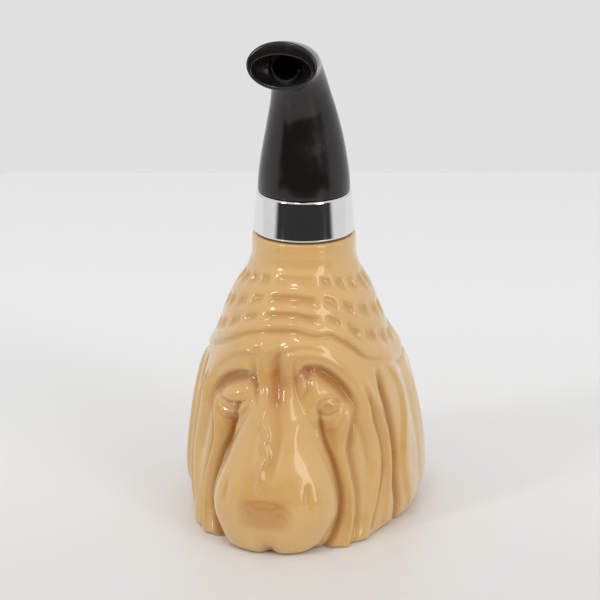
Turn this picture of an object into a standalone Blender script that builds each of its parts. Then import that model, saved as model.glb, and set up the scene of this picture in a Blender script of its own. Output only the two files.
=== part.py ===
"""Figural aftershave bottle: a hound's head in a cloth cap, closed by a pipe-stem screw cap.

The bottle stands on its base at z = 0 with the origin in the middle of its footprint, and the hound
looks along -y. All five pieces are made about the neck axis, which an empty sets back along +y: the
hollow glass bottle, the sealing wad, the threaded insert of the cap, the bright collar and the
hollow pipe stem. Lengths are in metres and angles in degrees; an angle on the head is counted from
the middle of the face, positive towards +x.
"""
import math

import bmesh
import bpy
import numpy as np
from mathutils import Matrix

# The neck axis stands behind the middle of the footprint, where the origin is
NECK_SETBACK = 0.0068

# The head, which is the body of the bottle
HEAD_HEIGHT = 0.0851
HEAD_HALF_WIDTH = 0.0370
SHOULDER_BAND = 0.0015
SHOULDER_EDGE = 0.0010
HEEL_RADIUS = 0.0018
STANDING_RING_WIDTH = 0.0060
PUSH_UP_DEPTH = 0.0016
PUSH_UP_EDGE = 0.0032
SHELF_DRAFT = 0.0002
GLASS_WALL = 0.0046
FLOOR_THICKNESS = 0.0052
INNER_SHOULDER_SHARE = 0.75

# The muzzle, and the lines and pads that are carved on the head
MUZZLE_REACH = 0.0472
MUZZLE_HALF_ANGLE = 31.0
MUZZLE_BLEND = 0.0012
CARVING_HEIGHT = 0.0020
CARVING_WIDTH = 0.0016
CARVING_SOFTNESS = 0.0011
EYE_RADIUS = 0.0042
EYE_HEIGHT = 0.0013
NOSE_HALF_WIDTH = 0.0080
NOSE_HALF_HEIGHT = 0.0050
NOSE_PROUD = 0.0012
FLEW_RADIUS = 0.0068
FLEW_HEIGHT = 0.0009
CAP_RIM_HEIGHT = 0.0010
CAP_CREASE_DEPTH = 0.0013
CAP_RIM_WIDTH = 0.0014

# The screw neck, a 20 mm continuous-thread finish without its thread
NECK_RADIUS = 0.0089
NECK_HEIGHT = 0.0093
NECK_BORE_RADIUS = 0.0068
LIP_EDGE = 0.0006

# The closure: wad, threaded insert, collar and stem
CLEARANCE = 0.0003
SHELF_GAP = 0.0005
THREAD_ROOM = 0.0013
LINER_EDGE_GAP = 0.0005
LINER_THICKNESS = 0.0012
INSERT_WALL = 0.0018
INSERT_TOP = 0.0015
INSERT_EDGE = 0.00045
SKIRT_WALL = 0.00215
SKIRT_INSET = 0.0005
COLLAR_HEIGHT = 0.0120
COLLAR_WALL = 0.00045
COLLAR_ROLL = 0.0004
COLLAR_TOP_SHARE = 0.9263
SHOULDER_PROUD = 0.0003

# Levels and radii that follow from those above, the radii from the neck outwards
SHELF_HEIGHT = HEAD_HEIGHT + SHOULDER_BAND
INSERT_INNER_RADIUS = NECK_RADIUS + THREAD_ROOM
LINER_RADIUS = INSERT_INNER_RADIUS - LINER_EDGE_GAP
COLLAR_FOOT_RADIUS = INSERT_INNER_RADIUS + INSERT_WALL + SKIRT_WALL + COLLAR_WALL + 2 * CLEARANCE
COLLAR_TOP_RADIUS = COLLAR_TOP_SHARE * COLLAR_FOOT_RADIUS
SHOULDER_SHARE = (COLLAR_FOOT_RADIUS + SHOULDER_PROUD) / HEAD_HALF_WIDTH

# The stem's tube: where its middle line runs and how it bends to the mouthpiece
STEM_RADIUS_SHARE = 0.908
STEM_RADIUS = STEM_RADIUS_SHARE * COLLAR_FOOT_RADIUS
STEM_RISE = 0.0436
STEM_REACH = 0.0262
STEM_WALL = 0.0021
MOUTH_TILT = 13.0
MOUTH_WIDTH_SHARE = 0.768
MOUTH_DEPTH_SHARE = 0.529
MOUTH_LIP_ROLL = 0.0008
MOUTH_DROP = 0.00135
FUNNEL_DEPTH = 0.0055
AIRWAY_RADIUS = 0.0040
AIRWAY_START_SHARE = 0.98
DROP_POWER = 3

# Mesh fineness, and the overrun of a cut past what it cuts
HEAD_COLUMNS = 104
HEAD_RINGS = 40
CAVITY_COLUMNS = 32
CAVITY_RINGS = 14
JAW_COLUMN = 42.0
EAR_COLUMN = 123.0
EAR_ANGLE = 86.0
RIM_ROW_SHARE = 0.70
RIM_CROWDING_SHARE = 0.25
TURNED_STEPS = 40
STEM_SIDES = 28
ARC_STEPS = 4
OVERRUN = 0.0010
MERGE_DISTANCE = 0.00001

# Plan of the head: at each share of its height, the radius at 0, 30 ... 180 degrees from the face,
# as shares of HEAD_HALF_WIDTH
PLAN_STEP = 30.0
PLAN_SHARES = (
    (0.00, (1.05, 1.09, 0.91, 0.90, 0.95, 0.91, 0.88)),
    (0.07, (1.05, 1.04, 0.925, 0.955, 1.01, 0.97, 0.93)),
    (0.19, (1.01, 0.995, 0.925, 0.96, 1.01, 0.97, 0.93)),
    (0.33, (0.95, 0.94, 0.89, 0.92, 0.97, 0.93, 0.89)),
    (0.47, (0.86, 0.88, 0.86, 0.85, 0.90, 0.88, 0.83)),
    (0.59, (0.81, 0.82, 0.795, 0.76, 0.80, 0.78, 0.75)),
    (0.68, (0.77, 0.76, 0.71, 0.685, 0.685, 0.68, 0.66)),
    (0.75, (0.70, 0.69, 0.65, 0.63, 0.61, 0.61, 0.61)),
    (0.82, (0.62, 0.61, 0.58, 0.56, 0.55, 0.55, 0.55)),
    (0.89, (0.50, 0.49, 0.47, 0.46, 0.46, 0.46, 0.46)),
    (0.93, (0.44, 0.44, 0.43, 0.43, 0.43, 0.43, 0.43)),
    (1.00, (SHOULDER_SHARE,) * 7),
)

# The muzzle: at each share of the height, its reach as a share of MUZZLE_REACH and its half angle as
# a share of MUZZLE_HALF_ANGLE
MUZZLE_SHARES = (
    (0.00, 0.955, 0.78),
    (0.035, 0.975, 0.85),
    (0.07, 0.985, 0.92),
    (0.14, 1.00, 1.00),
    (0.19, 0.995, 0.98),
    (0.25, 0.965, 0.93),
    (0.35, 0.885, 0.80),
    (0.45, 0.79, 0.63),
    (0.54, 0.685, 0.52),
    (0.61, 0.61, 0.46),
    (0.70, 0.46, 0.45),
    (1.00, 0.10, 0.45),
)
MUZZLE_CROWN_SHARE = 0.12
MUZZLE_FLANK_SHARE = 0.10

# Lines of the carving, the same on both sides: lift as a share of CARVING_HEIGHT, then the widths
# towards the face's middle (or below) and away from it as shares of CARVING_WIDTH, then the path as
# angle and share of the head's height
CARVING_SHARES = (
    # Jaw: the valley between the muzzle and the cheek
    (-1.0, 0.95, 1.15, (
        (22, 0.49), (23, 0.45), (24.5, 0.39), (27, 0.335), (29.5, 0.275), (31.3, 0.22), (32, 0.17),
        (31.7, 0.13), (30.3, 0.09), (28, 0.055), (25, 0.01))),
    # First fold of the cheek and the groove behind it
    (0.6, 1.0, 0.95, (
        (42, 0.50), (39, 0.475), (36.8, 0.425), (34.6, 0.38), (33.8, 0.345), (34.2, 0.31), (35.5, 0.265),
        (36.9, 0.21), (37.4, 0.155), (37, 0.105), (35.5, 0.055), (33.5, 0.01))),
    (-0.45, 0.9, 1.35, (
        (43, 0.46), (40.4, 0.43), (38.1, 0.385), (36.9, 0.335), (37.7, 0.295), (38.8, 0.25), (39.9, 0.20),
        (40, 0.155), (39.4, 0.10), (38, 0.05), (36, 0.01))),
    # Second fold, broad, with its sharp edge and the groove outside
    (0.7, 2.1, 0.95, (
        (45.5, 0.55), (48, 0.52), (50, 0.475), (51.6, 0.42), (53.4, 0.37), (55, 0.32), (55, 0.28),
        (54.2, 0.23), (52.8, 0.175), (50.8, 0.12), (48.7, 0.07), (46.5, 0.02))),
    (-0.35, 1.2, 1.3, ((45, 0.43), (45.5, 0.38), (46, 0.32), (46.5, 0.26))),
    (-0.45, 0.9, 0.95, (
        (49, 0.54), (50.8, 0.51), (53.3, 0.45), (55.6, 0.395), (57.8, 0.35), (58.8, 0.30), (58.2, 0.245),
        (56.6, 0.195), (54.5, 0.14), (52.4, 0.09), (50, 0.03))),
    # Third fold, and the trough before the ear
    (0.55, 1.05, 0.95, (
        (51.5, 0.56), (54.1, 0.51), (57, 0.465), (60, 0.415), (62.5, 0.365), (63.6, 0.315), (63.6, 0.265),
        (62.8, 0.21), (62, 0.155), (61.3, 0.105), (60.5, 0.04))),
    (-1.0, 1.2, 1.0, (
        (61, 0.60), (63, 0.55), (63.8, 0.515), (65.5, 0.465), (67.7, 0.405), (69.3, 0.35), (69.8, 0.295),
        (69, 0.24), (68.4, 0.185), (69.3, 0.135), (70.7, 0.085), (71.4, 0.03))),
    # The ear: its front edge, and the back edge with the groove behind it
    (0.6, 0.95, 3.0, (
        (72, 0.60), (76.5, 0.555), (79.3, 0.51), (80.6, 0.465), (80.2, 0.42), (78.7, 0.35), (76.7, 0.30),
        (75, 0.235), (75.2, 0.18), (77.5, 0.12), (81.5, 0.055))),
    (0.4, 1.8, 1.2, ((115, 0.57), (118.5, 0.47), (120.5, 0.33), (120.5, 0.19), (118, 0.07))),
    (-0.7, 1.3, 1.7, ((118.5, 0.57), (122, 0.47), (124, 0.33), (124, 0.19), (122, 0.06), (121, 0.01))),
    # Loose skin of the neck behind
    (0.4, 1.7, 1.6, ((134, 0.60), (136.5, 0.47), (138, 0.31), (137, 0.14), (135, 0.02))),
    (-0.45, 1.5, 1.5, ((144, 0.58), (146.5, 0.47), (148, 0.32), (147, 0.15), (145, 0.02))),
    (0.4, 1.7, 1.6, ((154, 0.60), (157, 0.48), (158.5, 0.33), (158, 0.17), (156, 0.02))),
    (-0.5, 1.5, 1.6, ((164, 0.58), (167.5, 0.45), (169, 0.28), (168.5, 0.12), (168, 0.02))),
    # Brow and eye socket
    (0.75, 0.95, 1.7, (
        (9.5, 0.65), (13, 0.672), (20, 0.68), (27.5, 0.665), (34.5, 0.637), (40, 0.605), (44.5, 0.565),
        (47.6, 0.52), (49.5, 0.46))),
    (-1.2, 1.7, 1.3, (
        (15, 0.61), (22, 0.61), (29, 0.59), (36, 0.56), (41.5, 0.515))),
    # Folds of the stop and the ridge along the side of the nose
    (0.5, 1.0, 1.2, (
        (20, 0.62), (20.6, 0.585), (21, 0.545), (18.6, 0.51), (15, 0.475), (11.7, 0.445), (9.5, 0.40),
        (8, 0.35), (6.8, 0.30), (6, 0.25))),
    (-0.5, 1.0, 1.0, ((10, 0.62), (10.8, 0.575), (11.2, 0.54), (12, 0.51))),
    (-0.6, 1.4, 1.4, ((0, 0.66), (0, 0.60), (0.5, 0.54), (1.5, 0.49))),
    # The cleft of the lip
    (-1.3, 1.0, 1.0, ((0, 0.07), (0, 0.0))),
)
# Where the carving is read to soften it, as shares of CARVING_SOFTNESS round and up, and the weight
SOFTENING_SHARES = ((0, 0, 0.4), (1, 0, 0.15), (-1, 0, 0.15), (0, 1, 0.15), (0, -1, 0.15))
CAP_RIM_SHARES = (
    (0, 0.765), (12, 0.760), (21, 0.750), (29, 0.737), (38, 0.718), (48, 0.680), (55, 0.659),
    (62, 0.642), (72, 0.623), (89, 0.588), (105, 0.585), (120, 0.602), (150, 0.62), (180, 0.625),
)
EYE_PLACE_SHARE = (28, 0.487)
EYE_SQUINT_SHARE = 0.6
NOSE_PLACE_SHARE = (0, 0.168)
FLEW_PLACE_SHARE = (19.5, 0.12)


# Stem sections from the collar upwards: share of STEM_REACH forward, share of STEM_RISE up, tilt as a
# share of the mouth's, and half width and half depth as shares of STEM_RADIUS
STEM_SHARES = (
    (0.000, 0.00, 0.00, 1.000, 1.000),
    (0.000, 0.10, 0.00, 0.982, 0.985),
    (0.005, 0.22, 0.02, 0.935, 0.940),
    (0.015, 0.34, 0.06, 0.870, 0.880),
    (0.035, 0.45, 0.10, 0.800, 0.810),
    (0.075, 0.56, 0.17, 0.725, 0.725),
    (0.130, 0.66, 0.25, 0.655, 0.640),
    (0.210, 0.76, 0.37, 0.605, 0.560),
    (0.320, 0.85, 0.52, 0.585, 0.490),
    (0.460, 0.925, 0.70, 0.600, 0.440),
    (0.620, 0.970, 0.87, 0.650, 0.430),
    (0.790, 0.990, 0.97, 0.710, 0.460),
    (0.930, 0.998, 1.00, 0.750, 0.500),
    (1.000, 1.000, 1.00, MOUTH_WIDTH_SHARE, MOUTH_DEPTH_SHARE),
)

# Funnel sections from just outside the mouth inwards: share of its depth, then of the mouth's half
# width and half depth; the last lies inside the round airway
FUNNEL_SHARES = ((0.0, 0.83, 0.62), (0.4, 0.76, 0.58), (1.0, 0.36, 0.50))


def smooth_curve(value, places, heights):
    """Cubic Hermite curve through (places, heights), read at an array of values."""
    places = np.asarray(places, float)
    heights = np.asarray(heights, float)
    value = np.clip(value, places[0], places[-1])
    index = np.clip(np.searchsorted(places, value, side="right") - 1, 0, len(places) - 2)
    slope = np.gradient(heights, places)
    span = places[index + 1] - places[index]
    t = (value - places[index]) / span
    return ((2 * t**3 - 3 * t**2 + 1) * heights[index] + (t**3 - 2 * t**2 + t) * span * slope[index]
            + (3 * t**2 - 2 * t**3) * heights[index + 1] + (t**3 - t**2) * span * slope[index + 1])


def from_face(angle):
    """Angles folded to 0 at the middle of the face and 180 at the nape."""
    return np.abs((np.asarray(angle, float) + 180.0) % 360.0 - 180.0)


def plan_radius(angle, height):
    """Radius of the plain head, without its muzzle and folds."""
    shares = height / HEAD_HEIGHT
    rows = [row[0] for row in PLAN_SHARES]
    count = len(PLAN_SHARES[0][1])
    columns = [smooth_curve(shares, rows, [row[1][k] for row in PLAN_SHARES]) for k in range(count)]
    columns = np.stack(columns, -1)
    step = from_face(angle) / PLAN_STEP
    low = np.clip(step.astype(int), 0, count - 2)
    t = step - low

    def column(k):
        k = np.where(k < 0, -k, np.where(k > count - 1, 2 * (count - 1) - k, k))
        return np.take_along_axis(columns, k[..., None], -1)[..., 0]

    a, b, c, d = (column(low + k) for k in (-1, 0, 1, 2))
    share = b + 0.5 * t * (c - a + t * (2 * a - 5 * b + 4 * c - d + t * (3 * (b - c) + d - a)))
    return share * HEAD_HALF_WIDTH


def muzzle_radius(angle, height):
    """Radius of the muzzle's own form, which falls away beyond its half angle."""
    shares = height / HEAD_HEIGHT
    rows = [row[0] for row in MUZZLE_SHARES]
    reach = smooth_curve(shares, rows, [row[1] for row in MUZZLE_SHARES]) * MUZZLE_REACH
    half = smooth_curve(shares, rows, [row[2] for row in MUZZLE_SHARES]) * MUZZLE_HALF_ANGLE
    s = from_face(angle) / half
    return reach * np.maximum(1.0 - MUZZLE_CROWN_SHARE * s**2 - MUZZLE_FLANK_SHARE * s**6, 0.0)


def body_radius(angle, height):
    """The plain head and the muzzle, run into each other."""
    plain = plan_radius(angle, height)
    muzzle = muzzle_radius(angle, height)
    mix = np.clip(0.5 + 0.5 * (muzzle - plain) / MUZZLE_BLEND, 0.0, 1.0)
    return plain * (1 - mix) + muzzle * mix + MUZZLE_BLEND * mix * (1 - mix)


def stroke(angle, height, path, near, far):
    """Strength, 0 to 1, of a line carved along a path of (angle, height share).

    The first width is the one towards the face's middle, or below where the path runs outwards.
    """
    arc = HEAD_HALF_WIDTH * math.pi / 180.0
    place = np.stack([from_face(angle) * arc, height], -1)
    points = np.array([(turn * arc, share * HEAD_HEIGHT) for turn, share in path])
    nearest = np.full(place.shape[:-1], np.inf)
    side = np.zeros_like(nearest)
    for start, end in zip(points[:-1], points[1:]):
        along = end - start
        t = np.clip(((place - start) @ along) / (along @ along), 0.0, 1.0)
        off = place - (start + t[..., None] * along)
        gap = np.linalg.norm(off, axis=-1)
        turned = along[0] * off[..., 1] - along[1] * off[..., 0]
        side = np.where(gap < nearest, np.sign(turned), side)
        nearest = np.minimum(nearest, gap)
    return np.exp(-(nearest / np.where(side < 0, near, far)) ** 2)


def oval(angle, height, place, half_width, half_height, power=2):
    """Strength of a round or squarish pad about a place given as (angle, height share)."""
    arc = HEAD_HALF_WIDTH * math.pi / 180.0
    across = (from_face(angle) - place[0]) * arc / half_width
    up = (height - place[1] * HEAD_HEIGHT) / half_height
    return np.exp(-np.abs(across) ** (2 * power) - np.abs(up) ** (2 * power))


def head_radius(angle, height):
    """Radius of the carved head at angles and heights."""
    radius = body_radius(angle, height)
    for lift, near, far, path in CARVING_SHARES:
        line = stroke(angle, height, path, near * CARVING_WIDTH, far * CARVING_WIDTH)
        radius = radius + lift * CARVING_HEIGHT * line
    squint = EYE_SQUINT_SHARE * EYE_RADIUS
    radius = radius + EYE_HEIGHT * oval(angle, height, EYE_PLACE_SHARE, EYE_RADIUS, squint, 1)
    radius = radius + NOSE_PROUD * oval(angle, height, NOSE_PLACE_SHARE, NOSE_HALF_WIDTH, NOSE_HALF_HEIGHT)
    radius = radius + FLEW_HEIGHT * oval(angle, height, FLEW_PLACE_SHARE, FLEW_RADIUS, FLEW_RADIUS, 1)
    above = (height - rim_height(angle)) / CAP_RIM_WIDTH
    return radius + CAP_RIM_HEIGHT * np.exp(-above**2) - CAP_CREASE_DEPTH * np.exp(-(above + 2) ** 2)


def softened_radius(angle, height):
    """Radius of the carved head, averaged over about the space between two points of the mesh."""
    step = math.degrees(CARVING_SOFTNESS / HEAD_HALF_WIDTH)
    total = np.zeros_like(height)
    for across, up, weight in SOFTENING_SHARES:
        level = np.clip(height + up * CARVING_SOFTNESS, 0.0, HEAD_HEIGHT)
        total = total + weight * head_radius(angle + across * step, level)
    return total


def arc_points(centre, radius, start, end, steps=ARC_STEPS):
    """Points of an arc in the (radius, height) plane, from angle start to angle end."""
    turns = (math.radians(start + (end - start) * k / steps) for k in range(steps + 1))
    return [(centre[0] + radius * math.cos(t), centre[1] + radius * math.sin(t)) for t in turns]


def make_collection(name):
    collection = bpy.data.collections.new(name)
    bpy.context.scene.collection.children.link(collection)
    return collection


def make_material(name, colour, roughness, metallic=0.0):
    material = bpy.data.materials.new(name)
    material.use_nodes = True
    surface = material.node_tree.nodes["Principled BSDF"]
    surface.inputs["Base Color"].default_value = (*colour, 1.0)
    surface.inputs["Roughness"].default_value = roughness
    surface.inputs["Metallic"].default_value = metallic
    return material


def turned(name, profile, steps, collection):
    """A solid of revolution: profile runs down the outer side and ends where it closes."""
    mesh = bpy.data.meshes.new(name)
    edges = [(k, k + 1) for k in range(len(profile) - 1)]
    if profile[-1][0] > 0:
        edges.append((len(profile) - 1, 0))
    mesh.from_pydata([(radius, 0.0, height) for radius, height in profile], edges, [])
    blank = bpy.data.objects.new(name, mesh)
    collection.objects.link(blank)
    screw = blank.modifiers.new("turn", "SCREW")
    screw.axis = "Z"
    screw.steps = screw.render_steps = steps
    screw.use_merge_vertices = True
    screw.merge_threshold = MERGE_DISTANCE
    screw.use_smooth_shade = True
    return blank


def applied(blank):
    """The evaluated mesh of an object as a plain mesh object, in place of the first."""
    depsgraph = bpy.context.evaluated_depsgraph_get()
    mesh = bpy.data.meshes.new_from_object(blank.evaluated_get(depsgraph))
    blank.modifiers.clear()
    blank.data = mesh
    return blank


def cut(target, cutter):
    boolean = target.modifiers.new("cut " + cutter.name, "BOOLEAN")
    boolean.operation = "DIFFERENCE"
    boolean.solver = "EXACT"
    boolean.object = cutter
    cutter.hide_render = True
    cutter.display_type = "WIRE"


def even_to_angle(even, height):
    """Where each evenly spaced column lies: one column follows the jaw, and the face has the most."""
    groove = sorted((share, turn) for turn, share in CARVING_SHARES[0][3])
    jaw = smooth_curve(height / HEAD_HEIGHT, [share for share, _ in groove], [turn for _, turn in groove])
    spread = np.abs(even)
    inner = jaw * spread / JAW_COLUMN
    cheek = jaw + (EAR_ANGLE - jaw) * (spread - JAW_COLUMN) / (EAR_COLUMN - JAW_COLUMN)
    behind = EAR_ANGLE + (180.0 - EAR_ANGLE) * (spread - EAR_COLUMN) / (180.0 - EAR_COLUMN)
    angle = np.where(spread < JAW_COLUMN, inner, np.where(spread < EAR_COLUMN, cheek, behind))
    return angle * np.sign(even)


def rim_height(angle):
    """Height of the cloth cap's rim at angles round the head."""
    places = [place for place, _ in CAP_RIM_SHARES]
    return smooth_curve(from_face(angle), places, [share for _, share in CAP_RIM_SHARES]) * HEAD_HEIGHT


def row_to_height(row, angle):
    """Where each level row lies: one row follows the cap's rim, and the rows crowd towards it."""
    low, top = HEEL_RADIUS, HEAD_HEIGHT
    rim = rim_height(angle)
    middle = RIM_ROW_SHARE * HEAD_HEIGHT
    below = (row - low) / (middle - low)
    above = (row - middle) / (top - middle)
    below = low + (rim - low) * (below + RIM_CROWDING_SHARE * below * (1 - below))
    above = rim + (top - rim) * (above - RIM_CROWDING_SHARE * above * (1 - above))
    inside = (row > low) & (row < top)
    return np.where(inside, np.where(row < middle, below, above), row)


def carve(blank, radius_at, lowest, highest, follow_rim):
    """Moves the points of a turned drum of radius HEAD_HALF_WIDTH onto a carved surface.

    Between the heights given, a point keeps its share of the radius, now the carved surface's.
    """
    mesh = applied(blank).data
    places = np.empty(len(mesh.vertices) * 3)
    mesh.vertices.foreach_get("co", places)
    places = places.reshape(-1, 3)
    radius = np.hypot(places[:, 0], places[:, 1])
    even = np.degrees(np.arctan2(places[:, 0], -places[:, 1]))
    row = places[:, 2].copy()
    carved = (row >= lowest) & (row <= highest)
    level = np.clip(row, 0.0, HEAD_HEIGHT)
    angle = even_to_angle(even, level)
    if follow_rim:
        level = row_to_height(level, angle)
        angle = even_to_angle(even, level)
        places[:, 2] = np.where(carved, level, row)
    radius = np.where(carved, radius / HEAD_HALF_WIDTH * radius_at(angle, level), radius)
    turn = np.radians(angle)
    places[:, 0] = radius * np.sin(turn)
    places[:, 1] = -radius * np.cos(turn)
    mesh.vertices.foreach_set("co", places.ravel())
    mesh.update()
    return blank


def head_profile():
    """Profile of the bottle's blank: neck finish, shoulder, head as a plain drum, heel and base."""
    lip = SHELF_HEIGHT + NECK_HEIGHT
    points = [(0.0, lip), (NECK_RADIUS - LIP_EDGE, lip), (NECK_RADIUS, lip - LIP_EDGE)]
    points.append((NECK_RADIUS, SHELF_HEIGHT + SHELF_DRAFT / 2))
    top = SHELF_HEIGHT - SHELF_DRAFT / 2
    drum = HEAD_HALF_WIDTH
    shoulder = SHOULDER_SHARE * drum
    points += [(shoulder - SHOULDER_EDGE, top), (shoulder, top - SHOULDER_EDGE)]
    fall = HEEL_RADIUS - HEAD_HEIGHT
    points += [(drum, HEAD_HEIGHT + fall * k / HEAD_RINGS) for k in range(HEAD_RINGS)]
    points += arc_points((drum - HEEL_RADIUS, HEEL_RADIUS), HEEL_RADIUS, 0, -90)
    ring = drum - HEEL_RADIUS - STANDING_RING_WIDTH
    points += [(ring, 0.0), (ring - PUSH_UP_EDGE, PUSH_UP_DEPTH), (0.0, PUSH_UP_DEPTH)]
    return points


def cavity_radius(angle, height):
    """Inner surface of the glass: the plain head and muzzle, less the wall."""
    return body_radius(angle, height) - GLASS_WALL


def cavity_profile():
    """Profile of the hollow: neck bore, inner shoulder, drum and floor."""
    drum = HEAD_HALF_WIDTH
    lip = SHELF_HEIGHT + NECK_HEIGHT
    top = HEAD_HEIGHT - GLASS_WALL
    points = [(0.0, lip + OVERRUN), (NECK_BORE_RADIUS, lip + OVERRUN), (NECK_BORE_RADIUS, top + OVERRUN)]
    points.append((drum * INNER_SHOULDER_SHARE, top))
    low = FLOOR_THICKNESS + HEEL_RADIUS
    points += [(drum, top - GLASS_WALL / 2 + (low - top) * k / CAVITY_RINGS) for k in range(CAVITY_RINGS)]
    points += [(drum, low), (drum - HEEL_RADIUS, FLOOR_THICKNESS), (0.0, FLOOR_THICKNESS)]
    return points


def make_bottle(parts, cutters, glass):
    bottle = turned("glass_bottle", head_profile(), HEAD_COLUMNS, parts)
    carve(bottle, softened_radius, 0.0, HEAD_HEIGHT + MERGE_DISTANCE, follow_rim=True)
    cavity = turned("bottle_cavity", cavity_profile(), CAVITY_COLUMNS, cutters)
    carve(cavity, cavity_radius, 0.0, HEAD_HEIGHT - GLASS_WALL + OVERRUN / 2, follow_rim=False)
    cut(bottle, cavity)
    bottle.data.materials.append(glass)
    return bottle


def closure_levels():
    """Heights that the closure's pieces share, from the lip of the neck upwards."""
    liner = SHELF_HEIGHT + NECK_HEIGHT + CLEARANCE
    ceiling = liner + LINER_THICKNESS + CLEARANCE
    foot = SHELF_HEIGHT + SHELF_GAP
    return {"liner": liner, "ceiling": ceiling, "insert_top": ceiling + INSERT_TOP, "foot": foot,
            "socket_top": ceiling + INSERT_TOP + CLEARANCE, "collar_top": foot + COLLAR_HEIGHT}


def make_liner(parts, board):
    low = closure_levels()["liner"]
    top = low + LINER_THICKNESS
    profile = [(0.0, top), (LINER_RADIUS, top), (LINER_RADIUS, low), (0.0, low)]
    liner = turned("cap_liner", profile, TURNED_STEPS, parts)
    liner.data.materials.append(board)


def make_insert(parts, plastic):
    """The screw cap inside the stem: a cup whose thread is left out."""
    levels = closure_levels()
    outer = INSERT_INNER_RADIUS + INSERT_WALL
    top, foot, ceiling = levels["insert_top"], levels["foot"], levels["ceiling"]
    profile = [(0.0, top), (outer - INSERT_EDGE, top), (outer, top - INSERT_EDGE), (outer, foot),
               (INSERT_INNER_RADIUS, foot), (INSERT_INNER_RADIUS, ceiling), (0.0, ceiling)]
    insert = turned("threaded_insert", profile, TURNED_STEPS, parts)
    insert.data.materials.append(plastic)


def collar_radius(height):
    """Outer radius of the tapered collar at a height."""
    levels = closure_levels()
    share = (height - levels["foot"]) / COLLAR_HEIGHT
    return COLLAR_FOOT_RADIUS + (COLLAR_TOP_RADIUS - COLLAR_FOOT_RADIUS) * share


def make_collar(parts, chrome):
    """The tapered ferrule, with its upper and lower edges rolled."""
    levels = closure_levels()
    top, foot = levels["collar_top"], levels["foot"]
    outer = [(COLLAR_TOP_RADIUS - COLLAR_WALL / 2, top), (COLLAR_TOP_RADIUS, top - COLLAR_ROLL)]
    outer += [(COLLAR_FOOT_RADIUS, foot + COLLAR_ROLL), (COLLAR_FOOT_RADIUS - COLLAR_WALL / 2, foot)]
    inner = [(COLLAR_FOOT_RADIUS - COLLAR_WALL, foot + COLLAR_ROLL)]
    inner.append((COLLAR_TOP_RADIUS - COLLAR_WALL, top - COLLAR_ROLL))
    collar = turned("chrome_collar", outer + inner, TURNED_STEPS, parts)
    collar.data.materials.append(chrome)


def station(forward, height, tilt, half_width, half_depth):
    """Frame of one cross-section of the stem; tilt 0 faces up and 90 faces forward."""
    place = Matrix.Translation((0.0, -forward, height))
    lean = Matrix.Rotation(math.radians(tilt), 4, "X")
    return place @ lean @ Matrix.Diagonal((half_width, half_depth, 1.0, 1.0))


def lofted(name, stations, sides, collection):
    """A closed tube drawn through cross-section frames."""
    shape = bmesh.new()
    made = bmesh.ops.create_circle(shape, cap_ends=True, radius=1.0, segments=sides, matrix=stations[0])
    face = made["verts"][0].link_faces[0]
    for before, after in zip(stations[:-1], stations[1:]):
        grown = bmesh.ops.extrude_discrete_faces(shape, faces=[face])
        face = grown["faces"][0]
        bmesh.ops.transform(shape, matrix=after @ before.inverted(), verts=face.verts)
    rim = [edge for edge in shape.edges if edge.is_boundary]
    if rim:
        bmesh.ops.holes_fill(shape, edges=rim)
    bmesh.ops.recalc_face_normals(shape, faces=shape.faces)
    mesh = bpy.data.meshes.new(name)
    shape.to_mesh(mesh)
    shape.free()
    tube = bpy.data.objects.new(name, mesh)
    collection.objects.link(tube)
    return tube


def stem_stations(inset):
    """Cross-section frames of the stem, drawn in by an inset all round."""
    base = closure_levels()["collar_top"] + CLEARANCE
    rows = []
    for forward, rise, turn, width, depth in STEM_SHARES:
        rows.append(station(forward * STEM_REACH, base + rise * STEM_RISE, turn * (90.0 - MOUTH_TILT),
                            width * STEM_RADIUS - inset, depth * STEM_RADIUS - inset))
    return rows


def widened(frame, half_width, half_depth, drop=0.0):
    """A cross-section frame with other half sizes, moved down in its own plane by a drop."""
    turn = frame.to_3x3().normalized().to_4x4()
    place = Matrix.Translation(frame.translation) @ turn @ Matrix.Translation((0.0, -drop, 0.0))
    return place @ Matrix.Diagonal((half_width, half_depth, 1.0, 1.0))


def stem_core(foot, mouth):
    """Cross-section frames of the hollow: the insert's socket, the drawn-in stem, the round airway."""
    ceiling = closure_levels()["socket_top"]
    socket = INSERT_INNER_RADIUS + INSERT_WALL + CLEARANCE
    frames = [station(0.0, height, 0.0, socket, socket) for height in (foot - OVERRUN, ceiling)]
    for row, frame in zip(STEM_SHARES, stem_stations(STEM_WALL)):
        if row[1] > AIRWAY_START_SHARE:
            sunk = MOUTH_DROP * row[0] ** DROP_POWER
            frames.append(widened(frame, AIRWAY_RADIUS, AIRWAY_RADIUS, sunk))
        elif frame.translation.z > ceiling + OVERRUN:
            frames.append(frame)
    out = mouth @ Matrix.Translation((0.0, 0.0, OVERRUN))
    return frames + [widened(out, AIRWAY_RADIUS, AIRWAY_RADIUS, MOUTH_DROP)]


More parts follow.
